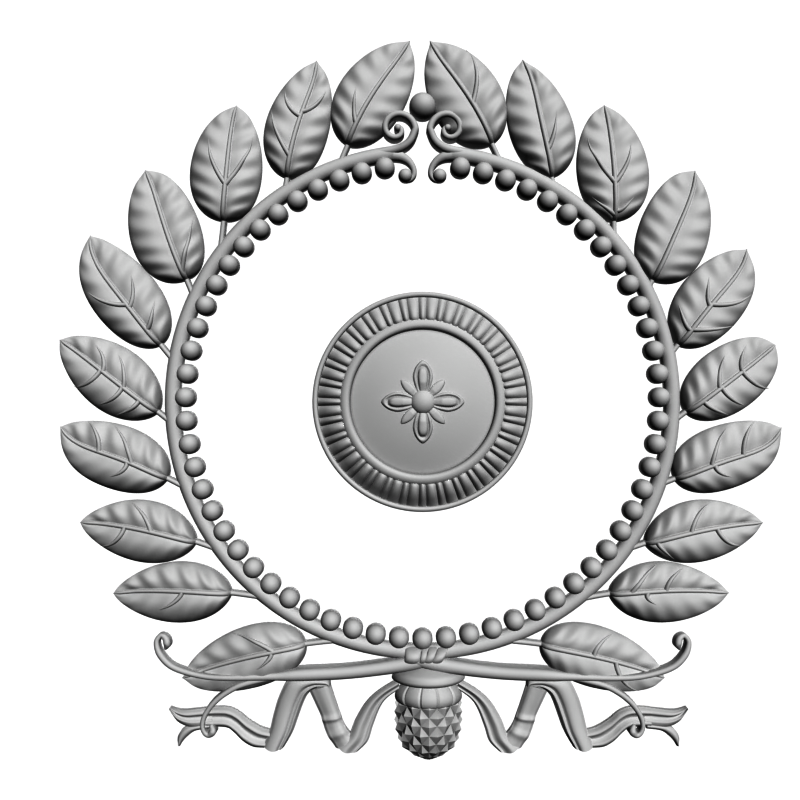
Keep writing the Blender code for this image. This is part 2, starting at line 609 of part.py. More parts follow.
def join_on(thing, members, block):
    """Joins the members to a piece, then planes its back flat."""
    union = thing.modifiers.new("carved as one", "BOOLEAN")
    union.operation = "UNION"
    union.operand_type = "COLLECTION"
    union.collection = members
    union.solver = "EXACT"
    union.use_self = True
    # The exact solver leaves this broad cut open at a few edges, and the manifold one closes it.
    plane = thing.modifiers.new("flat back", "BOOLEAN")
    plane.operation = "DIFFERENCE"
    plane.object = block
    plane.solver = "MANIFOLD"
    level = thing.modifiers.new("level facets", "DECIMATE")
    level.decimate_type = "DISSOLVE"
    level.angle_limit = math.radians(LEVEL_FACETS_DEG)


def make_rosette_body(collection, bench):
    """Rim, fluted slope, roll moulding and domed dish, made ring by ring."""
    bm = bmesh.new()
    seams = []
    for pair in range(FLUTE_PAIRS):
        middle = 360 / FLUTE_PAIRS * pair
        seams += [middle - NARROW_FLUTE_DEG / 2, middle + NARROW_FLUTE_DEG / 2]
    count = len(seams)

    def ring(across, up):
        return [bm.verts.new((*(on_clock(angle, across) * MM), up * MM)) for angle in seams]

    foot = next(FEET) / MM
    (outer, _), *_ = RIM_SECTION
    rings = [ring(outer, foot)] + [ring(*corner) for corner in RIM_SECTION]
    inner_rings = [ring(*corner) for corner in ROLL_AND_DISH_SECTION[:-1]]

    # Each flute is a ridge whose inner end is raised between its two seams.
    groove = rings[-1]
    flutes_end, roll = inner_rings[:2]
    across, up = ROLL_AND_DISH_SECTION[0]
    for flute in range(count):
        following = (flute + 1) % count
        span = (seams[following] - seams[flute]) % 360
        crest_angle = seams[flute] + span / 2
        crest = bm.verts.new((*(on_clock(crest_angle, across) * MM), (up + FLUTE_RISE) * MM))
        bm.faces.new((groove[flute], flutes_end[flute], crest))
        bm.faces.new((groove[flute], crest, groove[following]))
        bm.faces.new((groove[following], crest, flutes_end[following]))
        bm.faces.new((flutes_end[flute], roll[flute], crest))
        bm.faces.new((crest, roll[flute], roll[following]))
        bm.faces.new((crest, roll[following], flutes_end[following]))
    for band in (rings, inner_rings[1:]):
        for first, second in zip(band, band[1:]):
            for place in range(count):
                following = (place + 1) % count
                bm.faces.new((first[place], first[following], second[following], second[place]))
    for edge_ring, height in ((rings[0], foot), (inner_rings[-1], ROLL_AND_DISH_SECTION[-1][1])):
        hub = bm.verts.new((0.0, 0.0, height * MM))
        for place in range(count):
            bm.faces.new((edge_ring[place], edge_ring[(place + 1) % count], hub))
    return object_from_bmesh("centre_rosette", bm, collection, bench)


def petal_surface(angle_deg, reach, half_width, level):
    ahead = on_clock(angle_deg, 1.0)
    right = Vector((ahead.y, -ahead.x))

    def surface(t, v):
        share = (t * (1 - t)) ** 0.45 * 2 ** 0.9 if 0.0 < t < 1.0 else 0.0
        neck = 0.45 * (1 - t) if t < 0.5 else 0.0
        width = half_width * max(share, neck)
        place = ahead * (PETAL_ROOT + (reach - PETAL_ROOT) * t) + right * v * width
        lip = PETAL_LIP * (1 - abs(abs(v) - 0.6) / 0.4)
        crown = PETAL_CROWN * math.sqrt(max(1 - v ** 4, 0.0)) * (1 - t ** 6)
        return (place.x, place.y, level + crown + lip * share)

    return surface


def make_flower(collection, bench):
    """Four large petals, four small ones between them and a ball over their roots."""
    rows = (0.0, 0.35, 0.75, 1.0)
    for petal in range(PETALS):
        angle = 360 / PETALS * petal
        large = petal_surface(angle, PETAL_REACH, PETAL_HALF_WIDTH, PETAL_LEVEL)
        name = f"petal_large_{petal + 1}"
        relief_patch(name, rows, (-1.0, -0.6, 0.0, 0.6, 1.0), large, collection, bench, foot=PETAL_FOOT)
        angle += 180 / PETALS
        small = petal_surface(angle, SMALL_PETAL_REACH, SMALL_PETAL_HALF_WIDTH, SMALL_PETAL_LEVEL)
        name = f"petal_small_{petal + 1}"
        relief_patch(name, rows, (-1.0, 0.0, 1.0), small, collection, bench, foot=SMALL_PETAL_FOOT)
    ball = dished_profile(FLOWER_BALL_RADIUS, FLOWER_BALL_SKIRT, FLOWER_BALL_RISE, 3, foot=FLOWER_BALL_FOOT)
    turned("flower_ball", ball, 12, (0.0, 0.0), collection, bench)


def main():
    clear_scene()
    parts = new_collection("carved_onlay")
    guides = new_collection("guides")
    wreath_members = bpy.data.collections.new("wreath_members")
    guides.children.link(wreath_members)
    rosette_members = bpy.data.collections.new("rosette_members")
    guides.children.link(rosette_members)

    bench = bpy.data.objects.new("bench", None)
    bench.rotation_euler = (math.pi / 2, 0.0, 0.0)
    parts.objects.link(bench)

    wreath = make_ring(parts, bench)
    make_beads(wreath_members, bench)
    make_leaves(wreath_members, bench)
    make_scrolls(wreath_members, bench)
    make_stems(wreath_members, bench)
    make_binding(wreath_members, bench)
    make_ribbons(wreath_members, bench)
    make_collar(wreath_members, bench)
    make_cone(wreath_members, bench)

    rosette = make_rosette_body(parts, bench)
    make_flower(rosette_members, bench)

    for member in list(wreath_members.objects) + list(rosette_members.objects):
        as_guide(member)
    block = cutting_block("behind_the_back", guides, bench)
    join_on(wreath, wreath_members, block)
    join_on(rosette, rosette_members, block)
    wreath.data.materials.append(priming_grey("wreath_priming", PRIMING_GREY, PRIMING_ROUGHNESS))
    rosette.data.materials.append(priming_grey("rosette_priming", PRIMING_GREY, PRIMING_ROUGHNESS))


main()
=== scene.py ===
"""Looks of the carved wall onlay: a laurel wreath with a beaded ring, ribbons and a pine cone, and the
round flower rosette at its centre, both under one coat of satin grey priming.

The carving is drawn in millimetres on a bench: x to the right, y up, and h out of the flat back. The
bench is then stood up, so that h runs towards -Y.
"""

import itertools
import math

import bmesh
import bpy
import numpy as np
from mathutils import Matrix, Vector


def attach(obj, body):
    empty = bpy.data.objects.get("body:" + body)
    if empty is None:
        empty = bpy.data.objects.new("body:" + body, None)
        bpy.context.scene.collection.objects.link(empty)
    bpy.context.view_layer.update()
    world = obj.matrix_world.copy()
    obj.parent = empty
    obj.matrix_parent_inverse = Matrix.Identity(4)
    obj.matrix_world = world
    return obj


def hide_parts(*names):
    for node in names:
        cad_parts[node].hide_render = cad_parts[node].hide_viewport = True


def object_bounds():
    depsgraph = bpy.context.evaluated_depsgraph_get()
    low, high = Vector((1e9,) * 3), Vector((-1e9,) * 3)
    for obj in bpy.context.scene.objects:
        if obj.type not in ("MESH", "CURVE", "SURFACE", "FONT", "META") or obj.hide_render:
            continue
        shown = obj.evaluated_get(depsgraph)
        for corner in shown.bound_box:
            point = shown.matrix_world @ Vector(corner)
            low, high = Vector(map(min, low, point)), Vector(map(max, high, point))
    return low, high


MM = 0.001

# The ring, its beads and the ball between its ends. Lengths are in mm.
RING_RADIUS = 206.8
RING_HALF_WIDTH = 6.3
RING_SKIRT = 4.5
BEAD_COUNT = 61
BEAD_SPACING_DEG = 5.694
BEAD_CIRCLE = 195.8
BEAD_RADIUS = 8.2
BEAD_SKIRT = 8.0
RING_GAP_DEG = (360 - BEAD_COUNT * BEAD_SPACING_DEG) / 2
BALL_RADIUS = 10.8
BALL_UP = 243.7
BALL_SKIRT = 8.5

# The leaves.
LEAF_EDGE = 2.0
LEAF_DOME = 16.2
ARCH_POWERS = (2.6, 0.65)     # of the blade's cross section, flat in the middle and round to its edges
DOME_BASE_POWER = 0.30
DOME_TIP_POWER = 1.10
LEAF_VALLEY = 2.4
VALLEY_WIDTH = 0.30
STALK_HEIGHT = 8.8
STALK_FALL = 22               # from the blade's base to its tip, so that the blade takes over
HOOK_PEAK = 0.0819
MIDRIB_HALF_WIDTH = 2.1
MIDRIB_TAPER = 0.35
MIDRIB_RISE = 2.7
MIDRIB_CROWN = 1.2            # of its half width
MIDRIB_POINT = 0.06           # the part of the blade over which it narrows to its point
RIB_GROOVE_DEPTH = 0.3        # of the groove on each side of the midrib
RIB_GROOVE_OUT = 0.5          # from the midrib's side to the groove's middle
RIB_GROOVE_WIDTH = 0.9
VEIN_HALF_WIDTH = 1.9
VEIN_RISE = 2.3
VEIN_CROWN = 1.3              # of its half width
VEIN_FADE_POWER = 2.2
VEIN_END_HALF_WIDTH = 0.12
VEIN_END_RISE = 0.05
VEIN_BOW = 0.04               # of the blade's length, towards its base
RIPPLE_RISE = 2.0
RIPPLE_COUNT = 6.5
RIPPLE_SLANT = 0.12           # of the blade's length, towards its tip at the edge
RIPPLE_CROWDING = 0.12
RIPPLE_LEAST = 0.55           # strength where a leaf's row says 0
RIPPLE_MORE = 0.45            # what is added where it says 1
LEAF_STEPS = 76
LEAF_HALF_COLUMNS = 36

# Each leaf: clock angles of root and tip in degrees, reach of the tip from the ring's centre, bow
# and hook of the midrib, half widths on its anticlockwise and clockwise sides (all in mm), the part
# of its length that is bare stalk, how blunt its base and its tip are on the two sides (low is
# blunt), and the part of the blade over which the very tip is drawn to a point. Those sizes were
# fitted to the leaves' outlines by a program, and a few were then changed. Then how much
# stronger the ripples grow on its two sides, from 0 to 1, and its side veins: how far up the blade
# each leaves the midrib and ends, and how far out it ends (minus is anticlockwise).
LEAVES = {
    "left": (
        (-18.0, -2.0, 300.2, -3.4, 1.1, 29.7, 26.7, 0.09, 0.46, 0.60, 0.68, 0.78, 0.04,
         1.0, 0.6, ((0.17, 0.43, -0.48),)),
        (-31.9, -17.2, 296.8, -1.7, 2.5, 27.3, 24.6, 0.04, 0.49, 0.50, 0.76, 0.75, 0.03,
         0.8, 1.0, ((0.16, 0.51, -0.93), (0.50, 0.69, -0.83), (0.54, 0.77, 0.77))),
        (-51.2, -32.1, 290.5, 0.3, -1.9, 32.3, 26.5, 0.14, 0.45, 0.45, 0.68, 0.63, 0.02,
         0.8, 1.0, ((0.30, 0.68, -0.65), (0.29, 0.74, 0.82))),
        (-64.1, -50.1, 300.2, -0.4, 0.9, 32.7, 26.0, 0.08, 0.45, 0.44, 0.69, 0.55, 0.03,
         0.6, 1.0, ((0.06, 0.46, 0.90),)),
        (-79.5, -63.4, 308.7, -3.2, -5.8, 26.4, 26.9, 0.09, 0.50, 0.55, 0.69, 0.84, 0.02,
         0.2, 1.0, ((0.38, 0.64, -0.83), (0.35, 0.56, 0.65), (0.14, 0.30, 0.75))),
        (-93.5, -80.3, 305.9, 1.1, 0.1, 28.3, 26.2, 0.07, 0.59, 0.57, 0.75, 0.74, 0.02,
         0.0, 1.0, ((0.54, 0.72, 0.68), (0.32, 0.52, 0.73), (0.56, 0.68, -1.05), (0.33, 0.42, -0.88),
          (0.16, 0.26, -0.93))),
        (-108.5, -93.9, 301.5, 0.9, -6.3, 27.7, 23.8, 0.09, 0.52, 0.50, 0.72, 0.79, 0.02,
         0.0, 1.0, ((0.60, 0.81, 0.98), (0.30, 0.59, 0.95), (0.34, 0.42, -0.60))),
        (-124.0, -109.4, 301.5, 4.6, -0.1, 28.1, 23.2, 0.10, 0.63, 0.60, 0.79, 0.76, 0.01,
         0.0, 1.0, ((0.37, 0.59, 0.92), (0.60, 0.79, -1.00))),
        (-138.7, -121.8, 302.2, 4.3, 0.2, 27.9, 22.6, 0.15, 0.63, 0.55, 0.80, 0.75, 0.01,
         0.0, 1.0, ((0.39, 0.60, -0.60),)),
        (-158.2, -139.0, 304.2, 5.1, 0.0, 27.9, 23.1, 0.14, 0.52, 0.41, 0.65, 0.65, 0.03,
         0.0, 0.6, ((0.24, 0.54, 0.98), (0.26, 0.40, -0.40))),
    ),
    "right": (
        (16.8, 1.2, 300.2, 2.4, -1.6, 29.7, 29.2, 0.09, 0.52, 0.49, 0.84, 0.68, 0.05,
         0.6, 1.0, ((0.35, 0.78, 1.02),)),
        (30.1, 16.3, 296.1, 0.4, 2.8, 25.1, 27.9, 0.01, 0.58, 0.52, 0.68, 0.96, 0.03,
         1.0, 0.8, ((0.21, 0.50, 0.52),)),
        (47.9, 31.5, 289.2, 1.4, 1.2, 27.9, 31.5, 0.06, 0.53, 0.45, 0.64, 0.73, 0.02,
         1.0, 0.8, ((0.31, 0.73, -0.80), (0.05, 0.21, -0.80), (0.31, 0.66, 0.62), (0.08, 0.18, 0.55))),
        (62.4, 49.7, 297.1, 1.5, 2.9, 27.7, 31.0, 0.02, 0.46, 0.45, 0.54, 0.84, 0.03,
         1.0, 0.6, ()),
        (78.1, 64.8, 298.0, 0.2, 4.7, 26.1, 27.2, 0.04, 0.56, 0.56, 0.73, 0.74, 0.03,
         1.0, 0.2, ((0.40, 0.61, -0.60), (0.14, 0.26, -0.85), (0.42, 0.71, 0.92), (0.15, 0.42, 1.02))),
        (93.2, 80.8, 297.1, -0.4, 1.0, 26.7, 27.1, 0.06, 0.49, 0.51, 0.55, 0.57, 0.02,
         1.0, 0.0, ((0.60, 0.78, -0.68), (0.34, 0.56, -0.73), (0.60, 0.73, 1.10), (0.36, 0.45, 0.92),
          (0.16, 0.29, 0.95))),
        (108.0, 94.1, 299.2, 1.4, 7.2, 26.2, 24.9, 0.06, 0.48, 0.51, 0.73, 0.77, 0.03,
         1.0, 0.0, ((0.59, 0.82, -0.98), (0.30, 0.57, -0.90), (0.33, 0.42, 0.57))),
        (124.0, 109.5, 300.4, -4.2, 0.5, 24.1, 27.0, 0.07, 0.61, 0.67, 0.79, 0.85, 0.02,
         1.0, 0.0, ((0.37, 0.57, -0.90), (0.59, 0.79, 0.98), (0.09, 0.21, 0.88))),
        (139.1, 121.9, 300.3, -5.1, 0.5, 22.2, 28.2, 0.13, 0.58, 0.63, 0.81, 0.81, 0.02,
         1.0, 0.0, ((0.16, 0.41, -0.98), (0.45, 0.61, -0.88), (0.30, 0.36, 0.38))),
        (158.3, 138.7, 305.2, -5.1, 0.2, 23.2, 27.5, 0.15, 0.40, 0.52, 0.64, 0.64, 0.02,
         0.6, 0.0, ((0.40, 0.52, -0.93), (0.58, 0.83, 1.02))),
    ),
}

# Paths of the right-hand scrolls, stem and tendril: x, y, half width and level, which is how far the
# moulding is lifted off the back.
VOLUTE_CENTRE = (21.2, 223.6)
VOLUTE_RADII = (15.2, 2.2)
VOLUTE_TURN_DEG = 400
VOLUTE_HALF_WIDTHS = (2.8, 2.0)
VOLUTE_LEVEL = 10.0
VOLUTE_LEAD_IN = ((44.0, 204.6, 3.0, 2.0), (24.0, 207.6, 3.4, 4.4), (15.8, 210.0, 3.3, 6.8),
                  (9.8, 215.0, 3.0, 8.8))
VOLUTE_EYE = (20.4, 224.7)
VOLUTE_EYE_RADIUS = 2.9
VOLUTE_EYE_SKIRT = 13.0
VOLUTE_EYE_RISE = 3.0
LOWER_SCROLL = ((24.0, 203.6, 4.6, 3.0), (17.0, 202.2, 4.0, 3.0), (11.2, 198.6, 3.1, 3.0),
                (7.6, 193.4, 2.4, 3.0), (7.0, 188.2, 2.0, 3.0), (9.4, 184.2, 1.6, 3.0),
                (13.2, 182.6, 1.0, 3.0))
SCROLL_BEAD = (14.2, 187.2)
SCROLL_BEAD_RADIUS = 5.6
SCROLL_BEAD_SKIRT = 5.5
STEM = ((-14.0, -209.0, 5.4, 5.2), (15.3, -216.2, 5.6, 5.2), (60.0, -222.0, 5.2, 6.4),
        (100.0, -223.8, 4.8, 8.6), (123.3, -225.4, 3.0, 9.8), (161.2, -226.8, 2.3, 9.0),
        (183.6, -225.5, 2.2, 7.0), (205.4, -219.2, 2.5, 5.2), (216.4, -209.2, 2.7, 4.2),
        (219.8, -199.0, 2.2, 4.0), (216.4, -193.4, 2.0, 4.0), (212.2, -195.4, 2.7, 4.0),
        (211.0, -200.2, 2.9, 4.0), (212.8, -204.2, 1.2, 4.0))
TENDRIL = ((118.0, -225.2, 2.4, 8.6), (147.0, -232.4, 2.3, 8.0), (161.0, -239.2, 2.2, 7.2),
           (171.8, -247.8, 2.2, 6.6), (179.2, -258.0, 2.0, 6.4), (181.6, -266.4, 1.9, 6.4),
           (180.0, -272.4, 1.9, 6.4), (176.4, -274.6, 2.2, 6.4), (172.9, -271.4, 3.0, 6.4),
           (174.0, -267.4, 1.8, 6.4))
RIGHT_OVER_LEFT = 0.7         # how far the right-hand stem and tendril lie over the left-hand ones
# Straight sides over the level, and the round top over those, as shares of the half width.
VOLUTE_SIDES = 1.3
LOWER_SCROLL_SIDES = 0.8
STEM_SIDES = 0.9
ROUND_TOP = 0.95

# The binding over the ring's foot: x of each strand's middle, its lean and its half width.
BINDING_STRANDS = ((-8.2, 0.8, 6.5), (0.4, 1.8, 2.4), (5.9, 3.2, 3.4), (13.2, 4.5, 4.2))
BINDING_TOP = -201.2
BINDING_FOOT = -217.6
BINDING_HEIGHT = 17.5

# The pendant: its collar and lobed cap as half width and height up, and the pine cone's rows of
# studs as height up and half width at their points.
PENDANT_RIGHT = 5.0
PENDANT_EDGE_DEG = 14.0       # where the round section meets the back, below its widest point
COLLAR = ((2.0, -214.5), (14.0, -218.5), (24.0, -222.3), (28.8, -225.0), (30.4, -228.4),
          (29.8, -230.6), (27.5, -232.2), (23.0, -233.4))
CAP = ((22.0, -233.0), (26.0, -237.0), (28.2, -241.0), (28.6, -244.5), (27.6, -247.5), (25.6, -249.5),
       (22.0, -250.4), (4.0, -250.6))
CAP_LOBES = 12
CAP_SEAM_DEPTH = 0.045        # of the radius
CAP_SEAM_DEG = 3.0
CAP_SWELL = 0.012             # of the radius, of a lobe's middle over its sides
CONE_ROWS = ((-243.5, 26.5), (-250.1, 27.9), (-257.5, 28.4), (-264.3, 28.3), (-272.4, 27.6),
             (-279.9, 25.4), (-287.2, 21.8), (-292.9, 14.5), (-296.8, 6.5))
CONE_STUDS_AROUND = 12
STUD_HEIGHT = 3.4
FULL_STUD_AT = 20.0           # half width of a row below which its studs grow lower

# Ribbon strips on the right, from the pendant's axis outwards: two edges and the heights of the
# strip at its start, middle and end.
RIBBON_STRIPS = {
    "rise": (((25.0, -229.6), (40.5, -238.9), (51.6, -249.1), (60.4, -263.4), (66.2, -276.6),
              (75.6, -284.8)),
             ((24.0, -238.0), (34.3, -245.3), (40.2, -253.4), (46.0, -268.2), (50.2, -280.6),
              (58.2, -288.6)), (6.0, 6.5, 8.0)),
    "back": (((81.5, -233.6), (77.9, -245.1), (73.2, -258.7), (69.5, -268.0), (62.0, -278.0)),
             ((98.8, -239.0), (93.2, -251.4), (88.9, -261.4), (85.0, -273.6), (76.8, -286.4)),
             (7.0, 5.5, 7.0)),
    "front": (((81.0, -234.2), (83.9, -228.3), (101.6, -226.2), (115.4, -229.3), (123.4, -242.9),
               (128.0, -257.6), (131.2, -270.9), (136.5, -283.7)),
              ((81.6, -235.8), (86.1, -235.2), (93.1, -235.9), (99.3, -240.6), (103.3, -248.2),
               (107.5, -259.7), (112.1, -272.1), (119.2, -284.2)), (8.0, 10.5, 9.5, 11.0)),
    "tail": (((128.0, -272.4), (138.4, -269.6), (148.9, -263.5), (158.2, -256.2), (168.1, -252.8),
              (184.0, -253.2)),
             ((136.2, -286.5), (145.6, -285.6), (153.8, -281.0), (161.3, -273.8), (168.1, -269.8),
              (184.0, -269.4)), (7.5, 7.0, 6.5)),
    "upper_tip": (((178.9, -253.0), (192.1, -254.4), (202.0, -255.3), (208.6, -254.5), (213.8, -252.8)),
                  ((178.9, -269.6), (189.6, -270.1), (198.5, -268.9), (208.4, -264.2), (215.2, -254.8)),
                  (6.2, 7.5, 5.0)),
    "lower_tip": (((180.6, -266.0), (195.6, -267.8), (203.1, -270.6), (207.6, -277.0), (207.8, -284.2)),
                  ((180.6, -270.4), (192.3, -272.0), (198.5, -276.0), (203.1, -280.7), (206.2, -285.4)),
                  (6.2, 6.0, 4.5)),
}
# Lengthwise folds: heights over each strip's level at even steps from its first edge to its second.
RIBBON_FOLDS = {
    "rise": (-3.0, -0.6, 1.0, 1.4, 0.4, -1.0, -1.6, -0.8, -2.6),
    "back": (-3.0, -0.4, 0.8, 1.0, 0.8, 0.2, -0.6, -1.4, -3.0),
    "front": (-4.0, -1.2, 0.4, 1.3, 1.6, 1.0, -0.9, 0.4, -3.0),
    "tail": (-3.2, 0.2, 1.2, -0.8, -2.0, -0.6, 1.2, 0.2, -3.4),
    "upper_tip": (-2.2, 0.4, 0.8, -1.2, -0.9, 0.8, 0.4, -0.8, -2.4),
    "lower_tip": (-1.6, 0.2, 0.8, 0.2, -1.6),
}
ROUND_FEET = ("rise", "back", "front")
FOOT_ROUND = 3.0              # how far the middle of a round foot hangs below its corners
CREASES = (0.55, 0.82)        # where two cross creases cross the back strip
CREASE_DEPTH = 1.8
CREASE_WIDTH = 0.05

# The rosette.
ROSETTE_RADIUS = 91.0
RIM_CREST = 89.0
RIM_TOP = 7.1
RIM_ROUND = 2.2
RIM_SIDE_DOWN = 1.6           # from the rim's top to that of its straight outer side
GROOVE = (86.8, 2.6)          # radius of its outer edge, and height
GROOVE_WIDTH = 1.4
FLUTE_OUTER = 86.6
FLUTE_CREST = 69.8
FLUTE_INNER = 67.4
FLUTE_STEEPEST_DEG = 40.0
FLUTE_STEEP_FROM = 81.0
FLUTE_BEND = 0.62
FLUTE_FOOT_UP = 5.4
FLUTE_END_FALL = 0.8
FLUTE_PAIRS = 32
NARROW_FLUTE_DEG = 4.6
FLUTE_DEPTHS = (2.8, 3.5)     # outer and inner end
FLUTE_SQUARENESS = {"narrow": 2.0, "wide": 2.6}
ROLL_CREST = 63.05
ROLL_TOP = 15.5
ROLL_INNER_ROUND = 3.3
ROLL_OUTER_ROUND = 6.0
ROLL_SIDE_OUT = 1.2
ROLL_SIDE_DOWN = 1.4
DISH_RADIUS = 59.3
DISH_EDGE_UP = 10.4
DISH_RISE = 8.8
# The petals: root, reach, half width and height over the dish. Their places along and across are
# shares of the petal's length and half width.
LARGE_PETAL = (6.0, 34.0, 8.2, 0.4)
SMALL_PETAL = (6.0, 25.2, 3.9, 0.2)
PETAL_WIDEST = 0.52
PETAL_ROUNDING = (1.4, 0.45)
PETAL_ROOT_WIDTH = 0.45
PETAL_END_FROM = 0.56         # from here on the end of the petal falls as its sides do
PETAL_END_SPAN = 0.44
PETAL_RISE = 2.0
PETAL_LIP = (0.7, 0.80, 0.15)           # height, place and width
PETAL_HOLLOW = (1.2, 0.57, 0.13)        # depth, place and width
PETAL_LOBE = (1.7, 0.52)                # height and reach of the lobe inside the hollow
PETAL_ROOT_RISE = 0.35
FLOWER_BALL_RADIUS = 10.0
FLOWER_BALL_SKIRT = 18.0
FLOWER_BALL_RISE = 6.0

# The priming. The greys of its clouds, of the shade painted into its creases and of its lighter ridges are
# shares of its own grey.
PRIMING_GREY = 0.42
PRIMING_ROUGHNESS = 0.7
ROUGHNESS_SPREAD = 0.05
CLOUD_GREYS = (0.97, 1.03)
# Painted shade: the grey in the creases is darker than the priming and stands in for shade falling there.
PAINTED_CREASE_SHADE_GREY = 0.7
RIDGE_GREY = 1.01
GRAIN_SIZE = 900.0
CLOUD_SIZE = 14.0
GRAIN_DEPTH = 0.0001
GRAIN_STRENGTH = 0.12

# Camera, lights and stage, in metres and degrees. The light's direction is seen from the carving.
CAMERA_PLACE = (-0.0186, -0.8045, 0.0015)
CAMERA_LENS_MM = 43.47
CAMERA_SENSOR_MM = 36.0
LIGHT_FROM = (0.22, -0.87, 0.43)
KEY_STRENGTH = 6.22
KEY_ANGLE_DEG = 3.0
BACK_LIGHT_STRENGTH = 5.0
BACK_LIGHT_ANGLE_DEG = 20.0
WORLD_STRENGTH = 0.03
VIEW_GAMMA = 0.303
STAGE_HALF = 6.0
BACKDROP_BEHIND = 2.6
BACKDROP_GREY = 0.585
FLOOR_BELOW = 1.5
FLOOR_GREY = 0.95
STAGE_ROUGHNESS = 0.9

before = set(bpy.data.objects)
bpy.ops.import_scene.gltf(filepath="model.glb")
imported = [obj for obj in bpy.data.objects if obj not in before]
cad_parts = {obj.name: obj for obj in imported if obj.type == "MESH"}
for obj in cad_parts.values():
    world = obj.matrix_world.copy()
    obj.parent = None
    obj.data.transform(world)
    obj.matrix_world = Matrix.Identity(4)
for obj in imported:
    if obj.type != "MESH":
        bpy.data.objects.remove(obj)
cad_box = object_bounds()

# Each shell's foot stands a hair above the last, so that no two lie in one plane at the back.
feet = (0.05 + 0.01 * (number % 40) for number in itertools.count())


class Carving:
    """One piece, gathered from closed shells of points in bench millimetres."""

    def __init__(self):
        self.points = []
        self.faces = []
        self.count = 0

    def add(self, points, faces):
        self.points.append(points)
        self.faces += [[corner + self.count for corner in face] for face in faces]
        self.count += len(points)

    def finish(self, name, node, material, sharp_deg=32.0):
        flat = np.concatenate(self.points)
        stood_up = np.stack((flat[:, 0], -flat[:, 2], flat[:, 1]), axis=1) * MM
        # A hair of a leaf's tip would pass the solid's box.
        stood_up = np.clip(stood_up, *np.array(cad_box))
        mesh = bpy.data.meshes.new(name)
        mesh.from_pydata(stood_up.tolist(), [], self.faces)
        bm = bmesh.new()
        bm.from_mesh(mesh)
        bmesh.ops.remove_doubles(bm, verts=bm.verts, dist=0.000002)
        bmesh.ops.dissolve_degenerate(bm, edges=bm.edges, dist=0.000001)
        bmesh.ops.recalc_face_normals(bm, faces=bm.faces)
        bm.to_mesh(mesh)
        bm.free()
        mesh.shade_smooth()
        mesh.set_sharp_from_angle(angle=math.radians(sharp_deg))
        piece = bpy.data.objects.new(name, mesh)
        bpy.context.scene.collection.objects.link(piece)
        mesh.materials.append(material)
        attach(piece, "root")
        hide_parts(node)


def quads(index):
    """Faces of a grid of point numbers."""
    corners = (index[:-1, :-1], index[:-1, 1:], index[1:, 1:], index[1:, :-1])
    return np.stack(corners, axis=-1).reshape(-1, 4).tolist()


def carved_sheet(carving, top, faces=None):
    """A grid of surface points, closed by walls and a floor at the foot."""
    rows, columns, _ = top.shape
    index = np.arange(rows * columns).reshape(rows, columns)
    rim = np.concatenate((index[0, :-1], index[:-1, -1], index[-1, :0:-1], index[:0:-1, 0]))
    low = top.reshape(-1, 3)[rim].copy()
    low[:, 2] = next(feet)
    below = rows * columns + np.arange(len(rim))
    walls = np.stack((rim, np.roll(rim, -1), np.roll(below, -1), below), axis=-1).tolist()
    faces = quads(index) if faces is None else faces
    carving.add(np.concatenate((top.reshape(-1, 3), low)), faces + walls + [below[::-1].tolist()])


def closed_run(carving, sections):
    """Sections (steps, points, 3), each one a closed loop, joined along the run and capped."""
    steps, count, _ = sections.shape
    index = np.arange(steps * count).reshape(steps, count)
    around = np.concatenate((index, index[:, :1]), axis=1)
    caps = [index[0].tolist(), index[-1, ::-1].tolist()]
    carving.add(sections.reshape(-1, 3), quads(around) + caps)


def on_clock(angle_deg, radius):
    """Points at clock angles, clockwise from the top of the ring."""
    angle = np.radians(angle_deg)
    return np.stack((radius * np.sin(angle), radius * np.cos(angle)), axis=-1)


def along_smooth(points, shares):
    """Points along a smooth curve through the given ones."""
    points = np.asarray(points, dtype=float)
    shares = np.atleast_1d(np.asarray(shares, dtype=float))
    spans = len(points) - 1
    place = np.clip(shares, 0, 1) * spans
    first = np.minimum(place.astype(int), spans - 1)
    t = (place - first)[:, None]
    a = points[np.maximum(first - 1, 0)]
    b = points[first]
    c = points[first + 1]
    d = points[np.minimum(first + 2, spans)]
    return b + 0.5 * t * ((c - a) + t * (2 * a - 5 * b + 4 * c - d) + t * t * (3 * b - a - 3 * c + d))


def moulding(carving, path, skirt, crown, steps=12):
    """A round-topped moulding along x, y and half width, with a straight skirt down to its foot."""
    path = np.asarray(path, dtype=float)
    count = len(path)
    foot = next(feet)
    skirt = np.broadcast_to(skirt, (count,))[:, None]
    crown = np.broadcast_to(crown, (count,))[:, None]
    run = np.gradient(path[:, :2], axis=0)
    run /= np.linalg.norm(run, axis=1)[:, None]
    left = np.stack((-run[:, 1], run[:, 0]), axis=1)
    turn = np.linspace(0, math.pi, steps + 1)
    across = np.concatenate(([1.0], np.cos(turn), [-1.0]))[None, :] * path[:, 2:3]
    up = np.concatenate((np.full((count, 1), foot), skirt + crown * np.sin(turn)[None, :],
                         np.full((count, 1), foot)), axis=1)
    flat = path[:, None, :2] + left[:, None, :] * across[:, :, None]
    closed_run(carving, np.concatenate((flat, up[:, :, None]), axis=2))


def raised_moulding(carving, path, sides, lift=0.0):
    """A moulding along x, y, half width and level."""
    half_width, level = path[:, 2], path[:, 3]
    moulding(carving, path, level + lift + sides * half_width, ROUND_TOP * half_width)


def round_ends(path, steps=5):
    """Adds a round end to a path's last point."""
    path = np.asarray(path, dtype=float)
    ahead = path[-1, :2] - path[-2, :2]
    ahead /= np.linalg.norm(ahead)
    half_width = path[-1, 2]
    turns = np.linspace(0, math.pi / 2, steps + 1)[1:] * 0.96
    tip = [(*(path[-1, :2] + ahead * half_width * math.sin(turn)), half_width * math.cos(turn),
            path[-1, 3]) for turn in turns]
    return np.concatenate((path, tip))


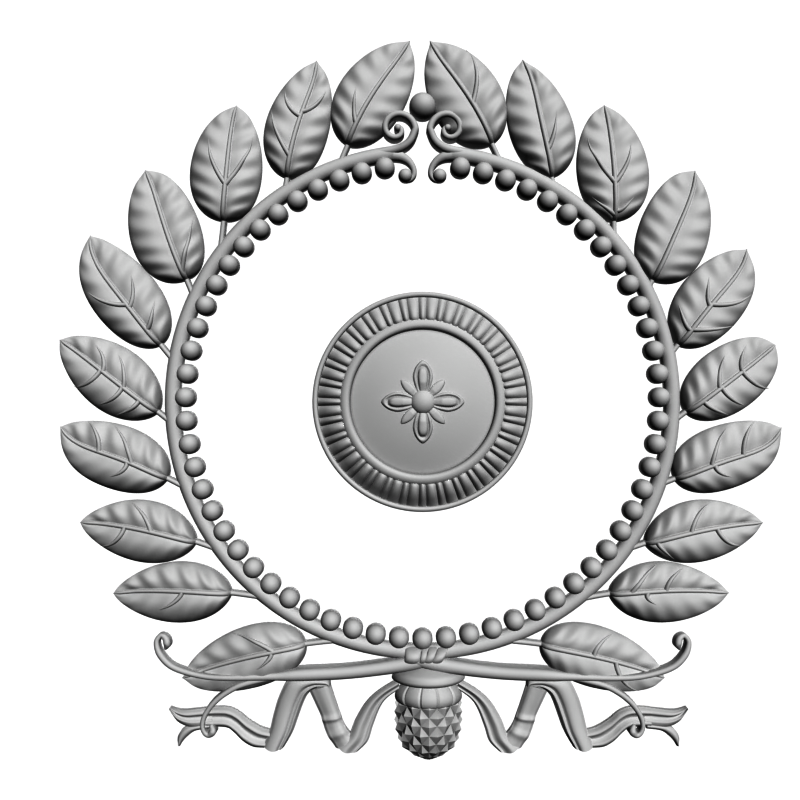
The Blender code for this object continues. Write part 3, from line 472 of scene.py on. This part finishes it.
def boss(carving, place, section, sides=32):
    """A turned boss: its section runs from the outer foot up to the axis, as radius and height."""
    section = np.asarray(section, dtype=float)
    turn = np.arange(sides) * math.tau / sides
    rings = section[:-1]
    points = np.stack((
        place[0] + rings[:, :1] * np.cos(turn),
        place[1] + rings[:, :1] * np.sin(turn),
        np.broadcast_to(rings[:, 1:], (len(rings), sides)),
    ), axis=-1)
    index = np.arange(len(rings) * sides).reshape(len(rings), sides)
    around = np.concatenate((index, index[:, :1]), axis=1)
    hub = len(rings) * sides
    fan = [[int(a), int(b), hub] for a, b in zip(around[-1], around[-1][1:])]
    top = np.array([[place[0], place[1], section[-1, 1]]])
    carving.add(np.concatenate((points.reshape(-1, 3), top)),
                quads(around) + fan + [index[0, ::-1].tolist()])


def domed_section(radius, skirt, rise, steps=9):
    """A straight side and a round top."""
    turn = np.linspace(0, math.pi / 2, steps + 1)
    over = np.stack((radius * np.cos(turn), skirt + rise * np.sin(turn)), axis=1)
    return np.concatenate(([(radius, next(feet))], over))


def eased(count):
    """Steps from 0 to 1 that crowd towards both ends."""
    return 0.5 - 0.5 * np.cos(math.pi * np.linspace(0, 1, count))


def mirrored(path, side):
    path = np.array(path, dtype=float)
    path[:, 0] *= side
    return path


def swelling(t, base_power, end_power):
    """A curve that rises from 0 at the base to 1 and sinks to 0 at the tip."""
    top = base_power / (base_power + end_power)
    inner = np.clip(t, 0, 1)
    return (inner / top) ** base_power * ((1 - inner) / (1 - top)) ** end_power


class Leaf:
    """One leaf: t runs from the blade's base to its tip, v across it, clockwise side positive."""

    def __init__(self, sizes):
        root_deg, tip_deg, reach, self.bow, self.hook, *rest = sizes
        self.half_widths = rest[:2]
        self.stalk = rest[2]
        self.base_powers = rest[3:5]
        self.tip_powers = rest[5:7]
        self.blunting = rest[7]
        self.ripples = rest[8:10]
        self.veins = rest[10]
        self.root = on_clock(root_deg, RING_RADIUS + RING_HALF_WIDTH)
        tip = on_clock(tip_deg, reach)
        self.length = np.linalg.norm(tip - self.root)
        self.ahead = (tip - self.root) / self.length
        self.right = np.array((self.ahead[1], -self.ahead[0]))

    def hooked(self, s):
        return self.hook * np.clip(s, 0, 1) ** 4 * (1 - s) / HOOK_PEAK

    def half_width(self, t, v):
        wide = np.where(
            v > 0,
            self.half_widths[1] * swelling(t, self.base_powers[1], self.tip_powers[1]),
            self.half_widths[0] * swelling(t, self.base_powers[0], self.tip_powers[0]),
        )
        wide = wide * (1 - np.exp(np.minimum(t - 1, 0) / self.blunting))
        hooked = self.hooked(self.stalk + t * (1 - self.stalk))
        return wide + np.where(v * hooked < 0, np.abs(hooked), 0)

    def place(self, t, v):
        s = self.stalk + t * (1 - self.stalk)
        across = self.bow * 4 * s * (1 - s) + self.hooked(s) + v * self.half_width(t, v)
        return self.root + self.ahead * (self.length * s)[..., None] + self.right * across[..., None]

    def height(self, t, v):
        dome = LEAF_DOME * swelling(t, DOME_BASE_POWER, DOME_TIP_POWER)
        ridge, edge = ARCH_POWERS
        arch = np.clip(1 - np.abs(v) ** ridge, 0, 1) ** edge
        valley = np.minimum(LEAF_VALLEY, 0.5 * dome) * np.exp(-(v / VALLEY_WIDTH) ** 2)
        out = np.clip(np.abs(v), 0, 1)
        band = t - RIPPLE_SLANT * out
        wave = np.cos(math.tau * (RIPPLE_COUNT * band + RIPPLE_CROWDING * np.sin(math.tau * band)))
        # The ripples die out at the midrib, the edge, the base and the tip.
        reach = out * np.clip(1 - out ** 6, 0, 1) * np.clip(t * 8, 0, 1) * np.clip((1 - t) * 6, 0, 1)
        strength = RIPPLE_LEAST + RIPPLE_MORE * np.where(v > 0, self.ripples[1], self.ripples[0])
        return LEAF_EDGE + dome * arch - valley + RIPPLE_RISE * strength * wave * reach

    def rib_groove(self, t, v):
        """The groove cut along both sides of the midrib."""
        from_rib = np.abs(v) * self.half_width(t, v) - MIDRIB_HALF_WIDTH * (1 - MIDRIB_TAPER * t)
        fade = np.clip(t / 0.1, 0, 1) * np.clip((1 - t) / 0.15, 0, 1)
        return RIB_GROOVE_DEPTH * fade * np.exp(-((from_rib - RIB_GROOVE_OUT) / RIB_GROOVE_WIDTH) ** 2)

    def carve(self, carving):
        half = eased(LEAF_HALF_COLUMNS + 1)
        v = np.concatenate((-half[:0:-1], half))
        t, v = np.meshgrid(eased(LEAF_STEPS + 1), v, indexing="ij")
        up = self.height(t, v) - self.rib_groove(t, v)
        carved_sheet(carving, np.concatenate((self.place(t, v), up[..., None]), axis=-1))
        self.carve_midrib(carving)
        for vein in self.veins:
            self.carve_vein(carving, *vein)

    def carve_midrib(self, carving):
        under_ring = -self.stalk / (1 - self.stalk) - 0.04
        t = np.concatenate((np.linspace(under_ring, 0, 8)[:-1], np.linspace(0, 1, 60) ** 1.2))
        middle = self.place(t, np.zeros_like(t))
        taper = 1 - MIDRIB_TAPER * np.clip(t, 0, 1)
        point = np.clip((1 - t) / MIDRIB_POINT, 0.02, 1) ** 0.6
        half_width = MIDRIB_HALF_WIDTH * taper * point
        stalk = STALK_HEIGHT - STALK_FALL * np.clip(t, 0, 1)
        blade = np.where(t > 0, self.height(t, np.zeros_like(t)) + MIDRIB_RISE * taper * point, -50)
        crest = np.logaddexp(stalk, blade)
        crown = MIDRIB_CROWN * half_width
        moulding(carving, np.column_stack((middle, half_width)), crest - crown, crown)

    def carve_vein(self, carving, start, end, out):
        q = np.linspace(0, 1, 22)
        t = start + (end - start) * q - VEIN_BOW * 4 * q * (1 - q)
        v = out * q
        fade = 1 - q ** VEIN_FADE_POWER
        half_width = VEIN_HALF_WIDTH * fade + VEIN_END_HALF_WIDTH
        crest = self.height(t, v) + VEIN_RISE * fade + VEIN_END_RISE
        crown = VEIN_CROWN * half_width
        moulding(carving, np.column_stack((self.place(t, v), half_width)), crest - crown, crown, steps=8)


def make_leaves(material):
    for side, rows in LEAVES.items():
        for number, sizes in enumerate(rows):
            carving = Carving()
            Leaf(sizes).carve(carving)
            carving.finish(f"leaf_{side}_{number + 1:02d}", "laurel_wreath", material)


def make_ring(material):
    carving = Carving()
    clock = np.linspace(RING_GAP_DEG, 360 - RING_GAP_DEG, 401)
    path = on_clock(clock, RING_RADIUS)
    widths = np.full((len(path), 1), RING_HALF_WIDTH)
    moulding(carving, np.concatenate((path, widths), axis=1), RING_SKIRT, RING_HALF_WIDTH, steps=16)
    carving.finish("wreath_ring", "laurel_wreath", material)


def make_beads(material):
    carving = Carving()
    for number in range(BEAD_COUNT):
        angle = 180 + (number - (BEAD_COUNT - 1) / 2) * BEAD_SPACING_DEG
        boss(carving, on_clock(angle, BEAD_CIRCLE), domed_section(BEAD_RADIUS, BEAD_SKIRT, BEAD_RADIUS))
    boss(carving, (0.0, BALL_UP), domed_section(BALL_RADIUS, BALL_SKIRT, BALL_RADIUS, 12), 40)
    carving.finish("wreath_beads", "laurel_wreath", material)


def make_scrolls(material):
    """Two volutes and two small curls where the ring's ends part at the top."""
    for side, name in ((-1, "left"), (1, "right")):
        carving = Carving()
        share = np.linspace(0, 1, 70)
        angle = math.pi - math.radians(VOLUTE_TURN_DEG) * share
        radius = VOLUTE_RADII[0] + (VOLUTE_RADII[1] - VOLUTE_RADII[0]) * share
        half_width = VOLUTE_HALF_WIDTHS[0] + (VOLUTE_HALF_WIDTHS[1] - VOLUTE_HALF_WIDTHS[0]) * share
        spiral = np.stack((VOLUTE_CENTRE[0] + radius * np.cos(angle),
                           VOLUTE_CENTRE[1] + radius * np.sin(angle), half_width,
                           np.full_like(share, VOLUTE_LEVEL)), axis=1)
        lead_in = along_smooth(VOLUTE_LEAD_IN + (tuple(spiral[0]),), np.linspace(0, 1, 24))[:-1]
        volute = mirrored(round_ends(np.concatenate((lead_in, spiral))), side)
        raised_moulding(carving, volute, VOLUTE_SIDES)
        curl = mirrored(round_ends(along_smooth(LOWER_SCROLL, np.linspace(0, 1, 40))), side)
        raised_moulding(carving, curl, LOWER_SCROLL_SIDES)
        eye = domed_section(VOLUTE_EYE_RADIUS, VOLUTE_EYE_SKIRT, VOLUTE_EYE_RISE, 6)
        boss(carving, (side * VOLUTE_EYE[0], VOLUTE_EYE[1]), eye, 24)
        bead = domed_section(SCROLL_BEAD_RADIUS, SCROLL_BEAD_SKIRT, SCROLL_BEAD_RADIUS)
        boss(carving, (side * SCROLL_BEAD[0], SCROLL_BEAD[1]), bead, 28)
        carving.finish(f"scroll_{name}", "laurel_wreath", material)


def make_stems(material):
    """The stem ends that cross under the binding, with their curled tips and tendrils."""
    for side, name, lift in ((-1, "left", 0.0), (1, "right", RIGHT_OVER_LEFT)):
        carving = Carving()
        for run, steps in ((STEM, 120), (TENDRIL, 80)):
            path = mirrored(round_ends(along_smooth(run, np.linspace(0, 1, steps))), side)
            raised_moulding(carving, path, STEM_SIDES, lift)
        carving.finish(f"stem_{name}", "laurel_wreath", material)


def make_binding(material):
    carving = Carving()
    middle = (BINDING_TOP + BINDING_FOOT) / 2
    reach = (BINDING_TOP - BINDING_FOOT) / 2
    turn = np.linspace(-1, 1, 33) * math.pi / 2
    t, v = np.meshgrid(np.sin(turn), np.sin(turn[::2]), indexing="ij")
    for x, lean, half_width in BINDING_STRANDS:
        over = BINDING_HEIGHT * np.sqrt(1.1 - t * t)
        rounded = half_width * 0.6 * (np.sqrt(1.03 - v * v) - 1)
        sheet = np.stack((x + lean * t + half_width * v, middle + reach * t, over + rounded), axis=-1)
        carved_sheet(carving, sheet)
    carving.finish("wreath_binding", "laurel_wreath", material)


def strip_points(name, side):
    """A ribbon strip's surface: t along it, v across it."""
    first, second, levels = RIBBON_STRIPS[name]
    share = np.linspace(0, 1, 61)
    a = along_smooth(first, share)
    b = along_smooth(second, share)
    level = along_smooth([(level,) for level in levels], share)
    v = np.linspace(0, 1, 41)
    height = level + along_smooth([(fold,) for fold in RIBBON_FOLDS[name]], v).T
    if name == "back":
        for crease in CREASES:
            step = np.exp(-((share - crease) / CREASE_WIDTH) ** 2)[:, None]
            height = height + CREASE_DEPTH * step
    x = a[:, :1] + (b[:, :1] - a[:, :1]) * v
    y = a[:, 1:] + (b[:, 1:] - a[:, 1:]) * v
    if name in ROUND_FEET:
        y = y - FOOT_ROUND * share[:, None] ** 10 * (1 - (2 * v - 1) ** 2)
    return np.stack((PENDANT_RIGHT + side * x, y, height), axis=-1)


def make_ribbons(material):
    for side, side_name in ((-1, "left"), (1, "right")):
        for name in RIBBON_STRIPS:
            carving = Carving()
            carved_sheet(carving, strip_points(name, side))
            carving.finish(f"ribbon_{side_name}_{name}", "laurel_wreath", material)


def half_turned(radii, heights_up, turns):
    """Points round a half-round form: radii may change with the turn."""
    edge = math.radians(PENDANT_EDGE_DEG)
    full = radii / math.cos(edge)
    x = PENDANT_RIGHT + full * np.cos(turns)
    out = full * (np.sin(turns) - math.sin(edge))
    y = np.broadcast_to(heights_up, x.shape)
    return np.stack((x, y, np.maximum(out, 0.5)), axis=-1)


def make_collar(material):
    edge = math.radians(PENDANT_EDGE_DEG)
    turns = np.linspace(edge, math.pi - edge, 97)[None, :]
    carving = Carving()
    collar = along_smooth(COLLAR, np.linspace(0, 1, 40))
    carved_sheet(carving, half_turned(collar[:, :1], collar[:, 1:], turns))
    carving.finish("pendant_collar", "laurel_wreath", material)

    carving = Carving()
    turns = np.linspace(edge, math.pi - edge, 241)[None, :]
    cap = along_smooth(CAP, np.linspace(0, 1, 48))
    half_lobe = 180 / CAP_LOBES
    from_seam = half_lobe - np.abs((np.degrees(turns) - 90 + half_lobe) % (2 * half_lobe) - half_lobe)
    seam = CAP_SEAM_DEPTH * np.clip(1 - from_seam / CAP_SEAM_DEG, 0, 1)
    relief = 1 - seam - CAP_SWELL * (1 - from_seam / half_lobe) ** 2
    carved_sheet(carving, half_turned(cap[:, :1] * relief, cap[:, 1:], turns))
    carving.finish("pendant_cap", "laurel_wreath", material)


def make_cone(material):
    """The pine cone: rows of four-sided studs, each row half a stud round from the last."""
    carving = Carving()
    edge = math.radians(PENDANT_EDGE_DEG)
    step = math.pi / CONE_STUDS_AROUND
    turns = math.pi / 2 + step * np.arange(-CONE_STUDS_AROUND // 2, CONE_STUDS_AROUND // 2 + 1)
    turns = np.clip(turns, edge, math.pi - edge)
    rows = len(CONE_ROWS)
    columns = len(turns)
    ups, widths = np.array(CONE_ROWS).T
    row, column = np.meshgrid(np.arange(rows), np.arange(columns), indexing="ij")
    is_point = (row + column) % 2 == 1
    lift = np.where(is_point, STUD_HEIGHT * np.minimum(widths / FULL_STUD_AT, 1)[:, None], 0)
    points = half_turned(widths[:, None] - STUD_HEIGHT + lift, ups[:, None], turns[None, :])
    index = np.arange(rows * columns).reshape(rows, columns)
    faces = []
    for a, b, c, d in quads(index):
        if is_point.flat[a]:
            faces += [[a, b, d], [b, c, d]]
        else:
            faces += [[a, b, c], [a, c, d]]
    carved_sheet(carving, points, faces)
    carving.finish("pine_cone", "laurel_wreath", material, sharp_deg=8.0)


def closed_band(carving, points):
    """Closed sections (steps, points, 3) joined all the way round, the last to the first."""
    count, steps, _ = points.shape
    index = np.arange(count * steps).reshape(count, steps)
    around = np.concatenate((index, index[:1]), axis=0)
    around = np.concatenate((around, around[:, :1]), axis=1)
    carving.add(points.reshape(-1, 3), quads(around))


def turned_band(carving, section, sides=256):
    """A closed section turned about the rosette's axis."""
    section = np.asarray(section, dtype=float)
    turn = np.linspace(0, math.tau, sides, endpoint=False)
    points = np.stack((
        section[None, :, 0] * np.sin(turn)[:, None],
        section[None, :, 0] * np.cos(turn)[:, None],
        np.broadcast_to(section[:, 1], (sides, len(section))),
    ), axis=-1)
    closed_band(carving, points)


def arc(centre, radius, start_deg, end_deg, steps):
    turn = np.radians(np.linspace(start_deg, end_deg, steps))
    return np.stack((centre[0] + radius * np.cos(turn), centre[1] + radius * np.sin(turn)), axis=1)


def make_rim(material):
    carving = Carving()
    foot = next(feet)
    over = arc((RIM_CREST, RIM_TOP - RIM_ROUND), RIM_ROUND, 20, 160, 13)
    over = over[over[:, 0] < ROSETTE_RADIUS - 0.05]
    section = np.concatenate(([(ROSETTE_RADIUS, foot), (ROSETTE_RADIUS, RIM_TOP - RIM_SIDE_DOWN)], over,
                              [GROOVE, (GROOVE[0] - GROOVE_WIDTH, GROOVE[1]),
                               (GROOVE[0] - GROOVE_WIDTH, foot)]))
    turned_band(carving, section)
    carving.finish("rosette_rim", "centre_rosette", material)


def flute_profile(radii):
    """Height of the flutes' backs at each radius, falling from their inner crest to the groove."""
    fine = np.linspace(FLUTE_CREST, FLUTE_OUTER, 200)
    bend = np.clip((fine - FLUTE_CREST) / (FLUTE_STEEP_FROM - FLUTE_CREST), 0, 1) ** FLUTE_BEND
    slope = np.tan(np.radians(FLUTE_STEEPEST_DEG) * bend)
    fall = np.concatenate(([0], np.cumsum((slope[1:] + slope[:-1]) / 2 * np.diff(fine))))
    top = FLUTE_FOOT_UP + fall[-1]
    inner = np.clip((FLUTE_CREST - radii) / (FLUTE_CREST - FLUTE_INNER), 0, 1)
    return top - np.interp(radii, fine, fall) - FLUTE_END_FALL * inner ** 2


def make_flutes(material):
    """Sixty-four convex flutes, a narrow one after each wide one."""
    carving = Carving()
    foot = next(feet)
    across = np.sin(np.linspace(-1, 1, 13) * math.pi / 2)[:-1]
    clock = []
    relief = []
    pair_deg = 360 / FLUTE_PAIRS
    for pair in range(FLUTE_PAIRS):
        for kind, middle, span in (
            ("narrow", pair * pair_deg, NARROW_FLUTE_DEG),
            ("wide", (pair + 0.5) * pair_deg, pair_deg - NARROW_FLUTE_DEG),
        ):
            clock.append(middle + across * span / 2)
            relief.append(np.abs(across) ** FLUTE_SQUARENESS[kind])
    clock = np.concatenate(clock)[:, None]
    relief = np.concatenate(relief)[:, None]
    radii = np.concatenate((np.linspace(FLUTE_INNER, FLUTE_CREST, 9)[:-1],
                            np.linspace(FLUTE_CREST, FLUTE_OUTER, 26)))[None, :]
    outward = (radii - FLUTE_INNER) / (FLUTE_OUTER - FLUTE_INNER)
    depth = FLUTE_DEPTHS[1] + (FLUTE_DEPTHS[0] - FLUTE_DEPTHS[1]) * outward
    up = flute_profile(radii) - depth * relief
    radii = np.broadcast_to(radii, up.shape)
    radii = np.concatenate((radii[:, :1] - 0.3, radii, radii[:, -1:]), axis=1)
    up = np.concatenate((np.full_like(up[:, :1], foot), up, np.full_like(up[:, :1], foot)), axis=1)
    flat = on_clock(np.broadcast_to(clock, radii.shape), radii)
    closed_band(carving, np.concatenate((flat, up[..., None]), axis=-1))
    carving.finish("rosette_flutes", "centre_rosette", material, sharp_deg=50)


def dish_height(radius):
    return DISH_EDGE_UP + DISH_RISE * (1 - (radius / DISH_RADIUS) ** 2)


def make_dish(material):
    """The roll moulding and the domed dish inside it."""
    carving = Carving()
    foot = next(feet)
    outer = arc((ROLL_CREST, ROLL_TOP - ROLL_OUTER_ROUND), ROLL_OUTER_ROUND, 48, 90, 9)
    inner = arc((ROLL_CREST, ROLL_TOP - ROLL_INNER_ROUND), ROLL_INNER_ROUND, 90, 173, 11)[1:]
    dish = np.linspace(DISH_RADIUS, 2.0, 34)
    side_radius = outer[0, 0] + ROLL_SIDE_OUT
    side = [(side_radius, foot), (side_radius, outer[0, 1] - ROLL_SIDE_DOWN)]
    section = np.concatenate((side, outer, inner, np.stack((dish, dish_height(dish)), axis=1),
                              [(0.0, dish_height(0.0))]))
    boss(carving, (0.0, 0.0), section, 256)
    carving.finish("rosette_dish", "centre_rosette", material)


def petal(carving, clock_deg, sizes, lobed):
    root, reach, half_width, level = sizes
    ahead = on_clock(clock_deg, 1.0)
    right = np.array((ahead[1], -ahead[0]))
    v = np.sin(math.pi / 2 * np.linspace(-1, 1, 41))
    t, v = np.meshgrid(eased(41), v, indexing="ij")
    to_end = np.where(t > PETAL_WIDEST, 1 - PETAL_WIDEST, PETAL_WIDEST)
    from_widest = np.clip(np.abs(t - PETAL_WIDEST) / to_end, 0, 1)
    rounded = (1 - from_widest ** PETAL_ROUNDING[0]) ** PETAL_ROUNDING[1]
    width = half_width * np.maximum(rounded, np.where(t < 0.5, PETAL_ROOT_WIDTH * (1 - t), 0))
    flat = ahead * (root + (reach - root) * t)[..., None] + right * (v * width)[..., None]
    end = np.clip((t - PETAL_END_FROM) / PETAL_END_SPAN, 0, 1)
    rim = (np.abs(v) ** 3 + end ** 3) ** (1 / 3)
    up = PETAL_RISE * np.sqrt(np.clip(1 - rim ** 3, 0, 1))
    if lobed:
        lip, lip_at, lip_width = PETAL_LIP
        hollow, hollow_at, hollow_width = PETAL_HOLLOW
        lobe, lobe_reach = PETAL_LOBE
        up = up + lip * np.exp(-((rim - lip_at) / lip_width) ** 2)
        up = up - hollow * np.exp(-((rim - hollow_at) / hollow_width) ** 2)
        up = up + lobe * np.sqrt(np.clip(1 - (rim / lobe_reach) ** 2, 0, 1))
    # The petal rises out from under the ball.
    up = dish_height(root + (reach - root) * t) + level + up * np.clip(t / PETAL_ROOT_RISE, 0, 1)
    carved_sheet(carving, np.concatenate((flat, up[..., None]), axis=-1))


def make_flower(material):
    carving = Carving()
    for number in range(4):
        petal(carving, 90 * number + 45, SMALL_PETAL, lobed=False)
    for number in range(4):
        petal(carving, 90 * number, LARGE_PETAL, lobed=True)
    boss(carving, (0.0, 0.0), domed_section(FLOWER_BALL_RADIUS, FLOWER_BALL_SKIRT, FLOWER_BALL_RISE, 12), 48)
    carving.finish("rosette_flower", "centre_rosette", material)


def priming_coat():
    """Node group: brushed grain and a slow clouding of the priming, as masks from 0 to 1."""
    group = bpy.data.node_groups.new("priming_coat", "ShaderNodeTree")
    group.interface.new_socket("Grain Size", in_out="INPUT", socket_type="NodeSocketFloat")
    group.interface.new_socket("Grain", in_out="OUTPUT", socket_type="NodeSocketFloat")
    group.interface.new_socket("Cloud", in_out="OUTPUT", socket_type="NodeSocketFloat")
    nodes = group.nodes
    taken = nodes.new("NodeGroupInput")
    given = nodes.new("NodeGroupOutput")
    where = nodes.new("ShaderNodeTexCoord")
    grain = nodes.new("ShaderNodeTexNoise")
    grain.inputs["Detail"].default_value = 4.0
    cloud = nodes.new("ShaderNodeTexNoise")
    cloud.inputs["Scale"].default_value = CLOUD_SIZE
    group.links.new(where.outputs["Object"], grain.inputs["Vector"])
    group.links.new(where.outputs["Object"], cloud.inputs["Vector"])
    group.links.new(taken.outputs["Grain Size"], grain.inputs["Scale"])
    group.links.new(grain.outputs["Fac"], given.inputs["Grain"])
    group.links.new(cloud.outputs["Fac"], given.inputs["Cloud"])
    return group


def ridge_and_crease_shade_masks():
    """Node group: a mask of the ridges, where the priming is made lighter, and one of the creases, where
    shade is painted darker into it.
    """
    group = bpy.data.node_groups.new("ridge_and_crease_shade_masks", "ShaderNodeTree")
    group.interface.new_socket("Ridge", in_out="OUTPUT", socket_type="NodeSocketFloat")
    group.interface.new_socket("Crease Shade", in_out="OUTPUT", socket_type="NodeSocketFloat")
    nodes = group.nodes
    given = nodes.new("NodeGroupOutput")
    shape = nodes.new("ShaderNodeNewGeometry")
    # The crease mask says where shade is painted into the grey. The ridge mask says where the grey is made
    # lighter.
    for name, low, high in (("Ridge", 0.52, 0.60), ("Crease Shade", 0.48, 0.40)):
        spread = nodes.new("ShaderNodeMapRange")
        spread.inputs["From Min"].default_value = low
        spread.inputs["From Max"].default_value = high
        group.links.new(shape.outputs["Pointiness"], spread.inputs["Value"])
        group.links.new(spread.outputs["Result"], given.inputs[name])
    return group


def priming(name, coat, edges):
    """Satin grey priming over carved wood, with shade painted into its creases and its ridges a little
    lighter.
    """
    material = bpy.data.materials.new(name)
    material.use_nodes = True
    nodes = material.node_tree.nodes
    links = material.node_tree.links
    shader = nodes["Principled BSDF"]
    shader.inputs["Specular IOR Level"].default_value = 0.15
    grain = nodes.new("ShaderNodeGroup")
    grain.node_tree = coat
    grain.inputs["Grain Size"].default_value = GRAIN_SIZE
    shade_and_ridge_node = nodes.new("ShaderNodeGroup")
    shade_and_ridge_node.node_tree = edges

    def mixed(under, over, mask):
        """One grey over another where the mask is 1. The lower one is a value or a socket."""
        mix = nodes.new("ShaderNodeMix")
        mix.data_type = "RGBA"
        mix.inputs["B"].default_value = (over, over, over, 1)
        if isinstance(under, float):
            mix.inputs["A"].default_value = (under, under, under, 1)
        else:
            links.new(under, mix.inputs["A"])
        links.new(mask, mix.inputs["Factor"])
        return mix.outputs["Result"]

    thin, thick = CLOUD_GREYS
    clouded = mixed(PRIMING_GREY * thin, PRIMING_GREY * thick, grain.outputs["Cloud"])
    # Painted shade: the grey is darkened in the creases, where shade falls.
    crease_shaded = mixed(clouded, PRIMING_GREY * PAINTED_CREASE_SHADE_GREY, shade_and_ridge_node.outputs["Crease Shade"])
    # The grey is made a little lighter on the ridges.
    lightened_on_ridges = mixed(crease_shaded, PRIMING_GREY * RIDGE_GREY, shade_and_ridge_node.outputs["Ridge"])
    links.new(lightened_on_ridges, shader.inputs["Base Color"])
    rough = nodes.new("ShaderNodeMapRange")
    rough.inputs["To Min"].default_value = PRIMING_ROUGHNESS - ROUGHNESS_SPREAD
    rough.inputs["To Max"].default_value = PRIMING_ROUGHNESS + ROUGHNESS_SPREAD
    links.new(grain.outputs["Grain"], rough.inputs["Value"])
    links.new(rough.outputs["Result"], shader.inputs["Roughness"])
    bump = nodes.new("ShaderNodeBump")
    bump.inputs["Strength"].default_value = GRAIN_STRENGTH
    bump.inputs["Distance"].default_value = GRAIN_DEPTH
    links.new(grain.outputs["Grain"], bump.inputs["Height"])
    links.new(bump.outputs["Normal"], shader.inputs["Normal"])
    return material


def stage_plane(name, corners, value):
    mesh = bpy.data.meshes.new(name)
    mesh.from_pydata(corners, [], [(0, 1, 2, 3)])
    plane = bpy.data.objects.new(name, mesh)
    bpy.context.scene.collection.objects.link(plane)
    material = bpy.data.materials.new(name)
    material.use_nodes = True
    shader = material.node_tree.nodes["Principled BSDF"]
    shader.inputs["Base Color"].default_value = (value, value, value, 1)
    shader.inputs["Roughness"].default_value = STAGE_ROUGHNESS
    mesh.materials.append(material)
    return plane


def sun(name, towards, strength, angle_deg):
    """A lamp far off in one direction, which casts no shadow."""
    data = bpy.data.lights.new(name, "SUN")
    data.energy = strength
    data.angle = math.radians(angle_deg)
    data.use_shadow = False
    light = bpy.data.objects.new(name, data)
    light.rotation_euler = Vector(towards).to_track_quat("Z", "Y").to_euler()
    bpy.context.scene.collection.objects.link(light)


def make_stage():
    half, behind, down = STAGE_HALF, BACKDROP_BEHIND, -FLOOR_BELOW
    stage_plane("backdrop", [(-half, behind, down), (half, behind, down),
                             (half, behind, half), (-half, behind, half)], BACKDROP_GREY)
    floor = stage_plane("floor", [(-half, -half, down), (half, -half, down),
                                  (half, half, down), (-half, half, down)], FLOOR_GREY)
    floor.visible_diffuse = False
    sun("key", LIGHT_FROM, KEY_STRENGTH, KEY_ANGLE_DEG)
    sun("from_behind", (0.0, 1.0, 0.0), BACK_LIGHT_STRENGTH, BACK_LIGHT_ANGLE_DEG)
    world = bpy.data.worlds.new("studio")
    world.use_nodes = True
    background = world.node_tree.nodes["Background"]
    background.inputs["Color"].default_value = (1, 1, 1, 1)
    background.inputs["Strength"].default_value = WORLD_STRENGTH
    scene = bpy.context.scene
    scene.world = world
    scene.view_settings.view_transform = "Standard"
    scene.view_settings.gamma = VIEW_GAMMA


def make_camera():
    data = bpy.data.cameras.new("camera")
    data.lens = CAMERA_LENS_MM
    data.sensor_width = CAMERA_SENSOR_MM
    camera = bpy.data.objects.new("camera", data)
    camera.location = CAMERA_PLACE
    camera.rotation_euler = (math.pi / 2, 0.0, 0.0)
    bpy.context.scene.collection.objects.link(camera)
    bpy.context.scene.camera = camera


make_camera()
coat_group = priming_coat()
ridge_and_crease_shade_group = ridge_and_crease_shade_masks()
wreath_priming = priming("wreath_priming", coat_group, ridge_and_crease_shade_group)
rosette_priming = priming("rosette_priming", coat_group, ridge_and_crease_shade_group)
make_ring(wreath_priming)
make_beads(wreath_priming)
make_leaves(wreath_priming)
make_scrolls(wreath_priming)
make_stems(wreath_priming)
make_binding(wreath_priming)
make_ribbons(wreath_priming)
make_collar(wreath_priming)
make_cone(wreath_priming)
make_rim(rosette_priming)
make_flutes(rosette_priming)
make_dish(rosette_priming)
make_flower(rosette_priming)
make_stage()
